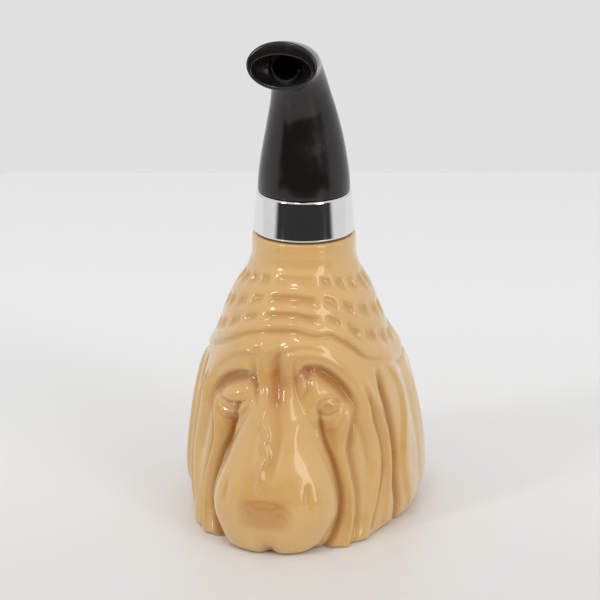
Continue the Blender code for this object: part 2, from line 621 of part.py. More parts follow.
def make_stem(parts, cutters, resin):
    """The curved stem: outer loft over a turned skirt, cored from below and flared at the mouth."""
    levels = closure_levels()
    base = levels["collar_top"] + CLEARANCE
    foot = levels["foot"] + SKIRT_INSET
    inner_gap = COLLAR_WALL + CLEARANCE
    skirt_top = collar_radius(levels["collar_top"]) - inner_gap
    skirt_foot = collar_radius(foot) - inner_gap
    skirt = [station(0.0, foot, 0.0, skirt_foot, skirt_foot), station(0.0, base, 0.0, skirt_top, skirt_top)]
    outer = stem_stations(0.0)
    half_width, half_depth = MOUTH_WIDTH_SHARE * STEM_RADIUS, MOUTH_DEPTH_SHARE * STEM_RADIUS
    lip = outer[-1] @ Matrix.Translation((0.0, 0.0, MOUTH_LIP_ROLL))
    crown = widened(lip, half_width - MOUTH_LIP_ROLL, half_depth - MOUTH_LIP_ROLL)
    stem = lofted("pipe_stem", skirt + outer + [lip, crown], STEM_SIDES, parts)
    cut(stem, lofted("stem_core", stem_core(foot, crown), STEM_SIDES, cutters))

    frames = []
    for depth, width, height in FUNNEL_SHARES:
        inwards = Matrix.Translation((0.0, 0.0, OVERRUN - depth * (FUNNEL_DEPTH + OVERRUN)))
        frames.append(widened(crown @ inwards, width * half_width, height * half_depth, MOUTH_DROP))
    cut(stem, lofted("mouth_funnel", frames, STEM_SIDES, cutters))
    stem.data.materials.append(resin)
    return stem


def clear_scene():
    for item in list(bpy.data.objects):
        bpy.data.objects.remove(item, do_unlink=True)


def set_back(parts, cutters):
    """Hangs every piece and cutter on an empty that stands on the neck axis."""
    axis = bpy.data.objects.new("neck axis", None)
    axis.location = (0.0, NECK_SETBACK, 0.0)
    parts.objects.link(axis)
    for item in [*parts.objects, *cutters.objects]:
        if item is not axis:
            item.parent = axis


def main():
    clear_scene()
    parts = make_collection("figural aftershave bottle")
    cutters = make_collection("cutters")
    glass = make_material("tan lacquered glass", (0.72, 0.46, 0.22), 0.12)
    resin = make_material("black stem resin", (0.012, 0.010, 0.009), 0.2)
    chrome = make_material("bright collar metal", (0.85, 0.85, 0.87), 0.06, 1.0)
    plastic = make_material("white insert plastic", (0.80, 0.79, 0.76), 0.4)
    board = make_material("liner board", (0.75, 0.70, 0.60), 0.8)
    make_bottle(parts, cutters, glass)
    make_liner(parts, board)
    make_insert(parts, plastic)
    make_collar(parts, chrome)
    make_stem(parts, cutters, resin)
    set_back(parts, cutters)


main()
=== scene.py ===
"""Looks of the figural aftershave bottle: a lacquered glass hound's head under a pipe-stem screw cap.

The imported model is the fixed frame. Each visible piece is built here in more detail round the same
neck axis and rides on its CAD body. The pieces are written in millimetres and degrees, the studio and
the bumps in metres. On the head an angle is counted from the middle of the face, positive towards +x,
and a height from the plane that the bottle stands on.
"""
from __future__ import annotations

import logging
import math
from dataclasses import dataclass, field, replace
from enum import Enum

import bmesh
import bpy
import numpy as np
from mathutils import Matrix, Vector

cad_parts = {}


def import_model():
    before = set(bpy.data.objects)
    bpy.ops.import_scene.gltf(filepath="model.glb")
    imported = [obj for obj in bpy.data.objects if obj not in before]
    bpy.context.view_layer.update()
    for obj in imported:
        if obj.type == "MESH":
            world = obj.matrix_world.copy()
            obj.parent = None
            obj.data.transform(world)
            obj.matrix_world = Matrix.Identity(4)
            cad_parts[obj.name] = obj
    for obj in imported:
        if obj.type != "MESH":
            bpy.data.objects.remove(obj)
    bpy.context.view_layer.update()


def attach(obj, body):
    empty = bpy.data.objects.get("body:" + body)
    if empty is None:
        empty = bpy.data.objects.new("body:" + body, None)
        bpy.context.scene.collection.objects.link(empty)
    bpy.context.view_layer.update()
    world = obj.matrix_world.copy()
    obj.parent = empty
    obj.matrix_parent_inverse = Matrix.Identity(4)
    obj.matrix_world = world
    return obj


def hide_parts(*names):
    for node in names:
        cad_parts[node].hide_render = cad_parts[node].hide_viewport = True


MM = 0.001

# Rise of the screw thread in one turn, and how far the neck axis stands back from the origin, in mm
THREAD_LEAD = 3.175
NECK_SETBACK = 6.8

# Laps of the thread's helix, degrees over which it runs in and out, and how much of its half width
# is level on the crest
THREAD_LAPS = 3
THREAD_RUN_IN, THREAD_RUN_OUT = 25.0, 30.0
THREAD_LEVEL = 0.45

# Steps between two knots of a stroke, and how many of its widths it reaches
STROKE_STEPS = 6
STROKE_REACH = 3.0

# Points of a turned piece closer than this are merged, in metres
MERGE_WITHIN = 1e-6

# Smallest number that anything is divided by
TINY = 1e-9

# How many times finer the fine swell of a surface is than the broad one
FINE_SCALE = 4.5

# Places of the two colours and of the result among the sockets of a Mix node
MIX_FIRST, MIX_SECOND, MIX_RESULT = 6, 7, 2

log = logging.getLogger("bottle")

Points = list[tuple[float, float]]
Pair = tuple[float, float]
Triple = tuple[float, float, float]


class Side(Enum):
    """Which way a stroke's angles run from the middle of the face, seen in the picture."""

    BOTH = 0
    RIGHT = 1
    LEFT = 2

    def turn(self, angle: np.ndarray) -> np.ndarray:
        """Signed angles as a mark on this side reads them."""
        return {Side.BOTH: np.abs(angle), Side.RIGHT: angle, Side.LEFT: -angle}[self]


def smooth_curve(value: np.ndarray, places: list[float], heights: list[float]) -> np.ndarray:
    """Reads a cubic Hermite curve.

    Args:
        value: where the curve is read.
        places: the places of its knots, rising.
        heights: the curve's heights at the knots.

    Returns:
        The height at each value, held level beyond the ends.
    """
    place = np.asarray(places, float)
    level = np.asarray(heights, float)
    value = np.clip(np.asarray(value, float), place[0], place[-1])
    index = np.clip(np.searchsorted(place, value, side="right") - 1, 0, len(place) - 2)
    slope = np.gradient(level, place)
    span = place[index + 1] - place[index]
    t = (value - place[index]) / span
    return ((2 * t**3 - 3 * t**2 + 1) * level[index] + (t**3 - 2 * t**2 + t) * span * slope[index]
            + (3 * t**2 - 2 * t**3) * level[index + 1] + (t**3 - t**2) * span * slope[index + 1])


def smooth_step(value: np.ndarray, low: float, high: float) -> np.ndarray:
    """Rises smoothly from 0 at low to 1 at high."""
    t = np.clip((value - low) / (high - low), 0.0, 1.0)
    return t * t * (3.0 - 2.0 * t)


def from_face(angle: np.ndarray) -> np.ndarray:
    """Folds angles to 0 at the middle of the face and 180 at the nape."""
    return np.abs((np.asarray(angle, float) + 180.0) % 360.0 - 180.0)


# Plan of the head: at each share of its height, the radius at 0, 30 ... 180 degrees from the face
PLAN_STEP = 30.0
PLAN_SHARES = (
    (0.00, (1.05, 1.09, 0.91, 0.90, 0.95, 0.91, 0.88)),
    (0.07, (1.05, 1.04, 0.925, 0.955, 1.01, 0.97, 0.93)),
    (0.19, (1.01, 0.995, 0.925, 0.96, 1.01, 0.97, 0.93)),
    (0.33, (0.95, 0.94, 0.89, 0.92, 0.97, 0.93, 0.89)),
    (0.47, (0.86, 0.88, 0.86, 0.85, 0.90, 0.88, 0.83)),
    (0.59, (0.81, 0.82, 0.795, 0.76, 0.80, 0.78, 0.75)),
    (0.68, (0.77, 0.76, 0.71, 0.685, 0.685, 0.68, 0.66)),
    (0.75, (0.70, 0.69, 0.65, 0.63, 0.61, 0.61, 0.61)),
    (0.82, (0.62, 0.61, 0.58, 0.56, 0.55, 0.55, 0.55)),
    (0.89, (0.50, 0.49, 0.47, 0.46, 0.46, 0.46, 0.46)),
    (0.93, (0.44, 0.44, 0.43, 0.43, 0.43, 0.43, 0.43)),
    (1.00, (0.419,) * 7),
)

# The muzzle: at each share of the height, its reach and its half angle as shares of the largest
MUZZLE_SHARES = (
    (0.00, 0.955, 0.78),
    (0.035, 0.975, 0.85),
    (0.07, 0.985, 0.92),
    (0.14, 1.00, 1.00),
    (0.19, 0.995, 0.98),
    (0.25, 0.965, 0.93),
    (0.35, 0.885, 0.80),
    (0.45, 0.79, 0.63),
    (0.54, 0.685, 0.52),
    (0.61, 0.61, 0.46),
    (0.70, 0.46, 0.45),
    (1.00, 0.10, 0.45),
)

# The crease under the cloth cap's rim: angle from the middle of the face, and height in millimetres
CAP_CREASE = (
    (-180, 51.0), (-150, 50.5), (-120, 49.0), (-105, 47.5), (-90, 47.5), (-72, 51.0), (-60, 53.0),
    (-50, 55.0), (-38, 57.5), (-28, 60.0), (-14, 62.0), (0, 63.0), (10, 63.0), (18, 62.0), (25, 61.5),
    (32, 61.5), (38, 60.0), (46, 57.5), (54, 54.0), (62, 52.5), (72, 51.0), (90, 47.5), (105, 47.5),
    (120, 49.0), (150, 50.5), (180, 51.0),
)

# Sections of the stem from the collar upwards: forward as a share of its reach, up as a share of its
# rise, tilt as a share of the mouth's, half width and half depth as shares of its radius
STEM_SHARES = (
    (0.000, 0.00, 0.00, 1.000, 1.000),
    (0.000, 0.10, 0.00, 0.982, 0.985),
    (0.005, 0.22, 0.02, 0.935, 0.940),
    (0.015, 0.34, 0.06, 0.870, 0.880),
    (0.035, 0.45, 0.10, 0.800, 0.810),
    (0.075, 0.56, 0.17, 0.725, 0.725),
    (0.130, 0.66, 0.25, 0.655, 0.640),
    (0.210, 0.76, 0.37, 0.605, 0.560),
    (0.320, 0.85, 0.52, 0.585, 0.490),
    (0.460, 0.925, 0.70, 0.600, 0.440),
    (0.620, 0.970, 0.87, 0.650, 0.430),
    (0.790, 0.990, 0.97, 0.710, 0.460),
    (0.930, 0.998, 1.00, 0.740, 0.488),
    (1.000, 1.000, 1.00, 0.752, 0.508),
)


@dataclass(frozen=True)
class HeadForm:
    """The plain head and its muzzle, before any line is carved. Lengths are in millimetres."""

    height: float = 85.1
    half_width: float = 37.0
    muzzle_reach: float = 47.2
    muzzle_angle: float = 31.0
    muzzle_crown: float = 0.12
    muzzle_flank: float = 0.10
    blend: float = 1.2

    def plan(self, angle: np.ndarray, height: np.ndarray) -> np.ndarray:
        """Radius of the plain head.

        Args:
            angle: angles from the middle of the face.
            height: heights above the standing plane.

        Returns:
            The radius from the neck axis at each place.
        """
        rows = [row[0] for row in PLAN_SHARES]
        count = len(PLAN_SHARES[0][1])
        share = height / self.height
        columns = np.stack([smooth_curve(share, rows, [row[1][k] for row in PLAN_SHARES])
                            for k in range(count)], -1)
        step = from_face(angle) / PLAN_STEP
        low = np.clip(step.astype(int), 0, count - 2)
        t = step - low

        def column(k: np.ndarray) -> np.ndarray:
            """Reads column k, mirrored past the face and the nape."""
            k = np.where(k < 0, -k, np.where(k > count - 1, 2 * (count - 1) - k, k))
            return np.take_along_axis(columns, k[..., None], -1)[..., 0]

        a, b, c, d = (column(low + k) for k in (-1, 0, 1, 2))
        curve = b + 0.5 * t * (c - a + t * (2 * a - 5 * b + 4 * c - d + t * (3 * (b - c) + d - a)))
        return curve * self.half_width

    def muzzle(self, height: np.ndarray, column: int) -> np.ndarray:
        """Reads a column of the muzzle's table at each height."""
        rows = [row[0] for row in MUZZLE_SHARES]
        return smooth_curve(height / self.height, rows, [row[column] for row in MUZZLE_SHARES])

    def muzzle_half(self, height: np.ndarray) -> np.ndarray:
        """Half angle of the muzzle at each height."""
        return self.muzzle(height, 2) * self.muzzle_angle

    def body(self, angle: np.ndarray, height: np.ndarray) -> np.ndarray:
        """Radius of the plain head and the muzzle, run into each other.

        Args:
            angle: angles from the middle of the face.
            height: heights above the standing plane.

        Returns:
            The radius from the neck axis at each place.
        """
        reach = self.muzzle(height, 1) * self.muzzle_reach
        s = from_face(angle) / self.muzzle_half(height)
        muzzle = reach * np.maximum(1.0 - self.muzzle_crown * s**2 - self.muzzle_flank * s**6, 0.0)
        plain = self.plan(angle, height)
        mix = np.clip(0.5 + 0.5 * (muzzle - plain) / self.blend, 0.0, 1.0)
        return plain * (1 - mix) + muzzle * mix + self.blend * mix * (1 - mix)

    def crease(self, angle: np.ndarray) -> np.ndarray:
        """Height of the crease under the cloth cap's rim at each angle."""
        turned = (np.asarray(angle, float) + 180.0) % 360.0 - 180.0
        places, heights = zip(*CAP_CREASE)
        return smooth_curve(turned, places, heights)


@dataclass(frozen=True)
class Stroke:
    """A line raised or pressed in the modeller's clay.

    The path is given as (angle, height), with the strength as a third number where it isn't 1. The
    section falls off over two widths, one on each side. On a path that runs down the face the first
    width lies towards the face's middle; on one that runs outwards it lies below.
    """

    path: tuple[tuple[float, ...], ...]
    lift: float
    near: float
    far: float
    side: Side = Side.BOTH

    def line(self, arc: float) -> np.ndarray:
        """Smooths the path.

        Args:
            arc: millimetres to a degree round the head.

        Returns:
            Places along it: millimetres round the head, height and strength.
        """
        knots = np.array([(*knot, 1.0)[:3] for knot in self.path], float)
        t = np.linspace(0, len(knots) - 1, STROKE_STEPS * (len(knots) - 1) + 1)
        steps = list(range(len(knots)))
        line = np.stack([smooth_curve(t, steps, list(knots[:, k])) for k in range(3)], -1)
        line[:, 0] *= arc
        line[:, 2] = np.maximum(line[:, 2], 0.0)
        return line

    def relief(self, angle: np.ndarray, height: np.ndarray, arc: float) -> np.ndarray:
        """How far the stroke moves the surface, in millimetres.

        Args:
            angle: angles from the middle of the face, -180 to 180.
            height: heights above the standing plane.
            arc: millimetres to a degree round the head.

        Returns:
            The lift at each place.
        """
        line = self.line(arc)
        across = self.side.turn(angle) * arc
        room = STROKE_REACH * max(self.near, self.far)
        close = ((across > line[:, 0].min() - room) & (across < line[:, 0].max() + room)
                 & (height > line[:, 1].min() - room) & (height < line[:, 1].max() + room))
        raised = np.zeros_like(height)
        place = np.stack([across[close], height[close]], -1)
        if not len(place):
            return raised
        best = np.full(len(place), np.inf)
        power = np.zeros(len(place))
        hand = np.zeros(len(place))
        for start, end in zip(line[:-1], line[1:]):
            along = end[:2] - start[:2]
            size = max(float(along @ along), TINY)
            share = np.clip(((place - start[:2]) @ along) / size, 0.0, 1.0)
            off = place - (start[:2] + share[:, None] * along)
            gap = np.hypot(off[:, 0], off[:, 1])
            nearer = gap < best
            best = np.where(nearer, gap, best)
            power = np.where(nearer, start[2] + (end[2] - start[2]) * share, power)
            hand = np.where(nearer, (along[0] * off[:, 1] - along[1] * off[:, 0]) / math.sqrt(size), hand)
        lean = np.clip(hand / np.maximum(best, TINY), -1.0, 1.0)
        width = self.near + (self.far - self.near) * (0.5 + 0.5 * lean)
        raised[close] = self.lift * power * np.exp(-((best / width) ** 2))
        return raised


@dataclass(frozen=True)
class Pad:
    """A rounded or squarish pad raised or pressed on the head, such as an eyeball or the nose."""

    angle: float
    height: float
    half_width: float
    half_height: float
    lift: float
    power: float = 1.0
    side: Side = Side.BOTH

    def relief(self, angle: np.ndarray, height: np.ndarray, arc: float) -> np.ndarray:
        """How far the pad moves the surface, in millimetres.

        Args:
            angle: angles from the middle of the face, -180 to 180.
            height: heights above the standing plane.
            arc: millimetres to a degree round the head.

        Returns:
            The lift at each place.
        """
        across = np.abs((self.side.turn(angle) - self.angle) * arc) / self.half_width
        up = np.abs(height - self.height) / self.half_height
        return self.lift * np.exp(-((across**2) ** self.power) - (up**2) ** self.power)


def on_side(side: Side, marks: list[Stroke | Pad]) -> list[Stroke | Pad]:
    """Puts marks on one side of the face."""
    return [replace(mark, side=side) for mark in marks]


def right_eye() -> list[Stroke | Pad]:
    """The eye on the picture's right, half open between heavy lids, with the bag under it."""
    return on_side(Side.RIGHT, [
        Pad(28.2, 42.0, 3.2, 1.7, 0.25, 1.5),
        Stroke(((18.8, 41.6, 0.3), (20.8, 43.4, 0.9), (23.6, 45.3), (28, 46), (32.4, 45.2),
                (35.8, 43.2, 0.8), (38.6, 40.8, 0.3)), 0.25, 0.6, 1.8),
        Stroke(((20.8, 42, 0.5), (23.4, 43.6), (28, 44.1), (32.2, 43.4), (35.4, 41.8, 0.5)), -0.4, 0.5,
                0.45),
        Stroke(((19.2, 41.4, 0.2), (21.1, 40.2, 0.7), (22.4, 39.1), (24.4, 38.3), (27.4, 38),
                (30.6, 38.8), (32.8, 39.7, 0.9), (35.2, 40.8, 0.6), (38, 42.2, 0.2)), 0.5, 0.8, 0.5),
        Stroke(((22.8, 40.6, 0.4), (25, 39.6), (28, 39.4), (31, 40.2, 0.9), (33.4, 41, 0.4)), -0.5, 0.4,
                0.45),
        Stroke(((20.5, 37.6, 0.2), (24, 35.4, 0.9), (29, 35), (34, 36.8, 0.7), (38, 39.6, 0.2)), -0.35,
                1.5, 0.9),
    ])


def left_eye() -> list[Stroke | Pad]:
    """The eye on the picture's left: a slit under a drooping upper lid."""
    return on_side(Side.LEFT, [
        Pad(27.0, 43.2, 4.2, 2.0, 1.0, 1.1),
        Pad(26.5, 39.7, 3.0, 0.7, 0.35, 1.5),
        Stroke(((16.6, 43.4, 0.3), (18.6, 42.2, 0.8), (21.5, 41), (26.2, 40.7), (31.5, 40.9),
                (35.1, 41.6, 0.7), (37.2, 42.6, 0.3)), -0.8, 0.45, 0.5),
        Stroke(((16.8, 41, 0.2), (18.7, 39.8, 0.7), (21, 39), (24.1, 38.2), (28.8, 37.7), (32.2, 38.3),
                (34.2, 40.2, 0.5)), 0.75, 0.7, 0.45),
        Stroke(((18, 38, 0.2), (22, 36.2, 0.9), (27, 35.6), (32, 36, 0.8), (36, 38.4, 0.2)), -0.5, 1.0,
                0.8),
    ])


def face_strokes() -> list[Stroke | Pad]:
    """Every line and pad of the hound's face, ears and neck, in millimetres and degrees."""
    both = [
        # Jaw: the valley between the muzzle and the cheek, wide only high up
        Stroke(((22, 42, 0.2), (22.8, 39.5, 0.7), (23.6, 36.5), (24.4, 33.5), (26.4, 29.6), (29, 25.5),
                (30.4, 21.5), (31.5, 17.5), (32, 13.6), (31.3, 9.6), (29, 5.8), (25.5, 2, 0.9),
                (23.5, 0, 0.8)), -2.1, 0.85, 1.05),
        Stroke(((26.5, 39.5, 0.2), (27.6, 36.5), (28.6, 33), (30, 29, 0.7), (31.4, 25, 0.1)), -0.9, 1.8,
                2.0),
        # First fold of the cheek, which hangs from the outer corner of the lower lid
        Stroke(((40.2, 41.2, 0.2), (37.6, 37.6, 0.8), (35.2, 33.6), (33.9, 29.4), (34.5, 25.2),
                (36, 20.8), (37.3, 16), (37.5, 11.6), (36.5, 7), (34.6, 2.8, 0.9), (33, 0, 0.8)), 1.3,
                1.25, 1.05),
        Stroke(((43, 39.5, 0.2), (40.4, 36.5, 0.8), (38.1, 32.6), (36.8, 28.6), (37.7, 24.6),
                (38.9, 20.2), (39.8, 15.6), (39.7, 11, 0.9), (38.6, 6.2, 0.9), (36.6, 2, 0.8),
                (35.4, 0, 0.7)), -1.15, 0.7, 1.6),
        # Second fold: broad, with its sharp edge outside and a shallow hollow before it
        Stroke(((45, 47, 0.2), (48, 44.3, 0.8), (50, 40.5), (51.4, 35.8), (53.6, 31.3), (55.3, 27.3),
                (55.4, 23.6), (54.5, 19.4), (52.9, 14.8), (50.8, 10.2), (48, 6, 0.9), (45.4, 1.6, 0.8)),
                1.5, 3.0, 0.85),
        Stroke(((42.5, 38.3, 0.4), (44.9, 33.6), (47, 29.2), (47.9, 25.2, 0.8), (47.6, 21, 0.2)), -0.75,
                1.5, 1.7),
        Stroke(((48.4, 46.4, 0.2), (50.6, 43.2, 0.8), (53.1, 38.3), (55.3, 33.7), (57.5, 29.5),
                (58.7, 25.2), (57.8, 20.7), (56.1, 16.3), (54, 12), (51.6, 7.6, 0.9), (48.6, 3, 0.8)),
                -1.15, 0.65, 1.0),
        # Third fold
        Stroke(((51, 47.5, 0.2), (54.1, 43.2, 0.8), (57, 39.6), (60, 35.4), (62.4, 31), (63.5, 27),
                (63.5, 22.4), (62.8, 17.8), (62, 13), (61.3, 9, 0.9), (60.5, 3, 0.8)), 1.25, 1.4, 1.0),
        # The trough before the ear, and the ear's front edge
        Stroke(((61.8, 50.5, 0.1), (63, 46.6, 0.7), (64, 42.6), (66, 38), (68, 33.4), (69.3, 29),
                (69.6, 24.6), (68.7, 20.2), (68.3, 15.8), (69.3, 11.4), (70.7, 7), (71.6, 0, 0.8)), -2.0,
                1.5, 1.15),
        Stroke(((72, 50.5, 0.3), (76.5, 47.1, 0.8), (79.5, 43.4), (80.8, 39.5), (80.3, 35.4),
                (78.6, 29.9), (76.5, 25.2), (75, 20), (75.2, 15.2), (77.6, 10.1, 0.9), (82, 4.7, 0.7)),
                1.25, 0.85, 4.6),
        # The soft folds and the back edge of the ear
        Stroke(((91, 45, 0.3), (93.5, 36), (94.5, 25), (94, 12, 0.8), (95, 3, 0.3)), -0.6, 2.4, 2.4),
        Stroke(((104, 46, 0.3), (107, 36), (108.5, 22), (107.5, 8, 0.6)), 0.55, 2.8, 2.6),
        Stroke(((115, 48.5, 0.3), (118.5, 40), (120.5, 28), (120.5, 16), (118, 6, 0.8)), 0.75, 2.4, 0.8),
        Stroke(((118.5, 48.5, 0.4), (122, 40), (124, 28), (124, 16), (122, 5, 0.9), (121, 0, 0.8)), -1.45,
                0.8, 2.0),
        # The loose skin of the neck behind
        Stroke(((134, 50, 0.2), (136.5, 40, 0.9), (138, 26), (137, 12), (135, 1, 0.8)), 0.9, 2.2, 2.0),
        Stroke(((144, 49, 0.2), (146.5, 40, 0.9), (148, 27), (147, 13), (145, 1, 0.8)), -1.0, 1.6, 1.6),
        Stroke(((154, 50, 0.2), (157, 41, 0.9), (158.5, 28), (158, 14), (156, 1, 0.8)), 0.9, 2.4, 1.8),
        Stroke(((164, 49, 0.2), (167.5, 38, 0.9), (169, 24), (168.5, 10, 0.9), (168, 1, 0.7)), -1.1, 1.5,
                2.0),
        # The brow, which overhangs the socket with a sharp lower edge
        Stroke(((7.5, 54, 0.2), (10, 56.4, 0.8), (14, 57.4), (20, 57.2), (27.2, 56.2), (34.2, 54),
                (39.9, 51.3), (44.3, 48.1, 0.9), (47.4, 44.5, 0.7), (49.2, 40.8, 0.3)), 1.15, 0.95, 4.6),
        # Flews, whisker dimples and the cleft of the lip
        Pad(22.6, 14.5, 4.4, 8.0, 0.75, 1.2),
        Stroke(((15.9, 22.6, 0.2), (15.9, 20.4), (15.9, 17.2), (15.9, 15, 0.2)), -0.6, 0.55, 0.9),
        Stroke(((13, 21.5, 0.3), (13.1, 18.5), (12.9, 15, 0.6)), 0.22, 0.6, 0.6),
        Stroke(((1.2, 5.4, 0.1), (1.4, 3.4, 0.4), (1.5, 1.6, 0.9), (1.5, 0, 1.2)), -2.3, 1.7, 1.8,
                Side.RIGHT),
        # The nose: a flat pad, wide above and narrow below, with its two nostrils and the line between
        Pad(-0.5, 13.4, 6.0, 4.2, 0.3, 2.4),
        Stroke(((0, 17.6), (5, 17.1), (8.6, 15.6, 0.9), (10.2, 13, 0.7), (9.6, 10.4, 0.4)), -0.4, 1.5,
                0.6),
        Stroke(((3.6, 13.4, 0.4), (5.2, 14.4), (7, 13.6), (7.9, 11.8, 0.5)), -0.4, 0.65, 0.65),
        Stroke(((0, 15, 0.2), (0, 12), (0, 8.6, 0.7)), -0.2, 0.6, 0.6),
    ]
    right = on_side(Side.RIGHT, [
        # The socket, deepest right under the brow
        Stroke(((11.5, 50.5, 0.3), (16, 52.4, 0.9), (22, 52.6), (28, 51.2, 1.1), (34, 48.6, 1.1),
                (39, 45.4), (43, 41.8, 0.5)), -2.7, 2.9, 1.35),
        # Furrow over the brow, and the stop's folds between brow and bridge
        Stroke(((-1, 57.2, 0.5), (4, 57.6), (10, 58.5), (16, 58.9, 0.8), (22, 58.4, 0.5),
                (27, 57.6, 0.2)), -0.4, 0.7, 0.8),
        Stroke(((17.8, 55, 0.2), (20.2, 52, 0.9), (21, 49.4), (21, 46.2), (19, 43.3), (16.2, 40.5),
                (13.4, 38.2), (11.4, 36.4, 0.7), (10.4, 33.4, 0.3)), 0.65, 1.4, 1.8),
        Stroke(((12, 37.5, 0.2), (10.4, 33.4, 0.9), (9.2, 30), (8.2, 27, 0.9), (7, 23.6, 0.7),
                (6, 20, 0.2)), 0.5, 2.4, 2.6),
        Stroke(((9, 54.6, 0.5), (9.1, 51.6), (9.8, 48), (11, 45, 0.8), (12.8, 42.8, 0.3)), -0.75, 0.95,
                1.1),
        Stroke(((5.2, 57.6, 0.4), (5.9, 53), (7, 48.8), (9.2, 46, 0.8), (13, 43.4, 0.3)), 0.25, 0.8, 0.9),
        Stroke(((16.2, 53.2, 0.4), (16.6, 50), (16.4, 46.6, 0.8), (15, 44, 0.3)), -0.7, 0.9, 0.9),
        # The flew's lower edge, lifted off the table beside the cheek
        Stroke(((15.5, -0.6, 0.5), (19, 0.4), (22.5, 1, 0.8)), -1.5, 1.0, 1.3),
        # The small dimple of the cheek
        Pad(63.4, 44.0, 0.8, 0.8, -0.4),
    ])
    left = on_side(Side.LEFT, [
        Stroke(((13, 47.5, 0.3), (18, 49.4, 0.9), (24, 49), (30, 47.9, 1.1), (36, 46), (41, 43.4, 0.8),
                (45, 40.4, 0.4)), -2.7, 2.3, 1.4),
        # The deep hollow between the eye and the muzzle
        Stroke(((26.5, 36.6, 0.5), (25.4, 34), (25.6, 31), (27.4, 27.4, 0.4)), -1.2, 1.3, 1.5),
        Stroke(((17, 54, 0.2), (18.5, 50.5, 0.9), (18, 47), (16, 43.5), (11.5, 40.5), (7, 38, 0.7),
                (4, 37, 0.2)), 0.5, 1.1, 1.4),
        Stroke(((15.5, 54, 0.4), (14.5, 51.5), (13.5, 48.5), (12, 45), (10, 42.5, 0.5)), -0.75, 0.9, 0.9),
        Stroke(((12, 55.5, 0.3), (11.5, 51), (10, 47.5), (8, 43.5, 0.7), (5.5, 41, 0.2)), 0.5, 0.8, 0.9),
        # The muzzle's flank, slimmer on this side
        Stroke(((20.5, 31, 0.3), (23, 25), (25.2, 18.5), (25.8, 12), (24.6, 6), (21.5, 0.5, 0.8)), -1.2,
                2.4, 2.0),
        # Short wrinkles of the forehead
        Stroke(((25, 55.2, 0.4), (23, 57), (19.7, 57.3), (16.6, 56.6), (14.3, 56, 0.5)), 0.5, 0.55, 0.7),
        Stroke(((14.6, 56.2, 0.5), (15.4, 57.6), (15, 58.8), (11.5, 59.3), (9, 58), (7.2, 56.6, 0.5)),
                0.5, 0.55, 0.6),
    ])
    middle = on_side(Side.RIGHT, [
        # The thin ridge winding down the bridge, with the hollow beside it
        Stroke(((-5, 41.5, 0.2), (-4, 39.5, 0.9), (-2.5, 37.5), (-1, 35), (-1.5, 32.5), (0, 30),
                (-2, 26.5), (-1.5, 23.5, 0.9), (-2.5, 20.5, 0.3)), 1.1, 0.95, 0.75),
        Stroke(((0.3, 47.5, 0.2), (1.2, 43.6, 0.9), (2.6, 39.8), (4, 35), (3.6, 30), (2.4, 25, 0.7),
                (1.6, 21.6, 0.2)), -0.5, 1.5, 1.5),
        Stroke(((-1.2, 56.4, 0.7), (-0.8, 52.4), (-0.2, 48.4), (0.6, 44.6, 0.8)), -1.3, 2.3, 2.5),
        # The forehead's line under the cap
        Stroke(((-6.3, 57.4, 0.6), (-3, 57.6), (0.5, 58.1), (5.2, 59.1), (10, 60, 0.8), (18, 60, 0.5),
                (26, 59.2, 0.2)), 0.4, 0.8, 1.2),
    ])
    return [*both, *right, *left, *middle, *right_eye(), *left_eye()]


# Painted shade where the clay is raised: darker, more orange colour on the nose, the two eyes, the stop and
# the middle of the bridge
PAINTED_SHADE_PADS = (
    Pad(-0.5, 13.6, 6.3, 4.5, 0.55, 3.6),
    Pad(28.2, 42.0, 3.2, 1.8, 0.45, 1.5, Side.RIGHT),
    Pad(26.5, 39.9, 3.4, 1.1, 0.40, 1.3, Side.LEFT),
    Pad(0.0, 49.0, 6.5, 7.5, 0.48, 1.0),
    Pad(0.0, 30.0, 5.0, 12.0, 0.18, 1.2),
)


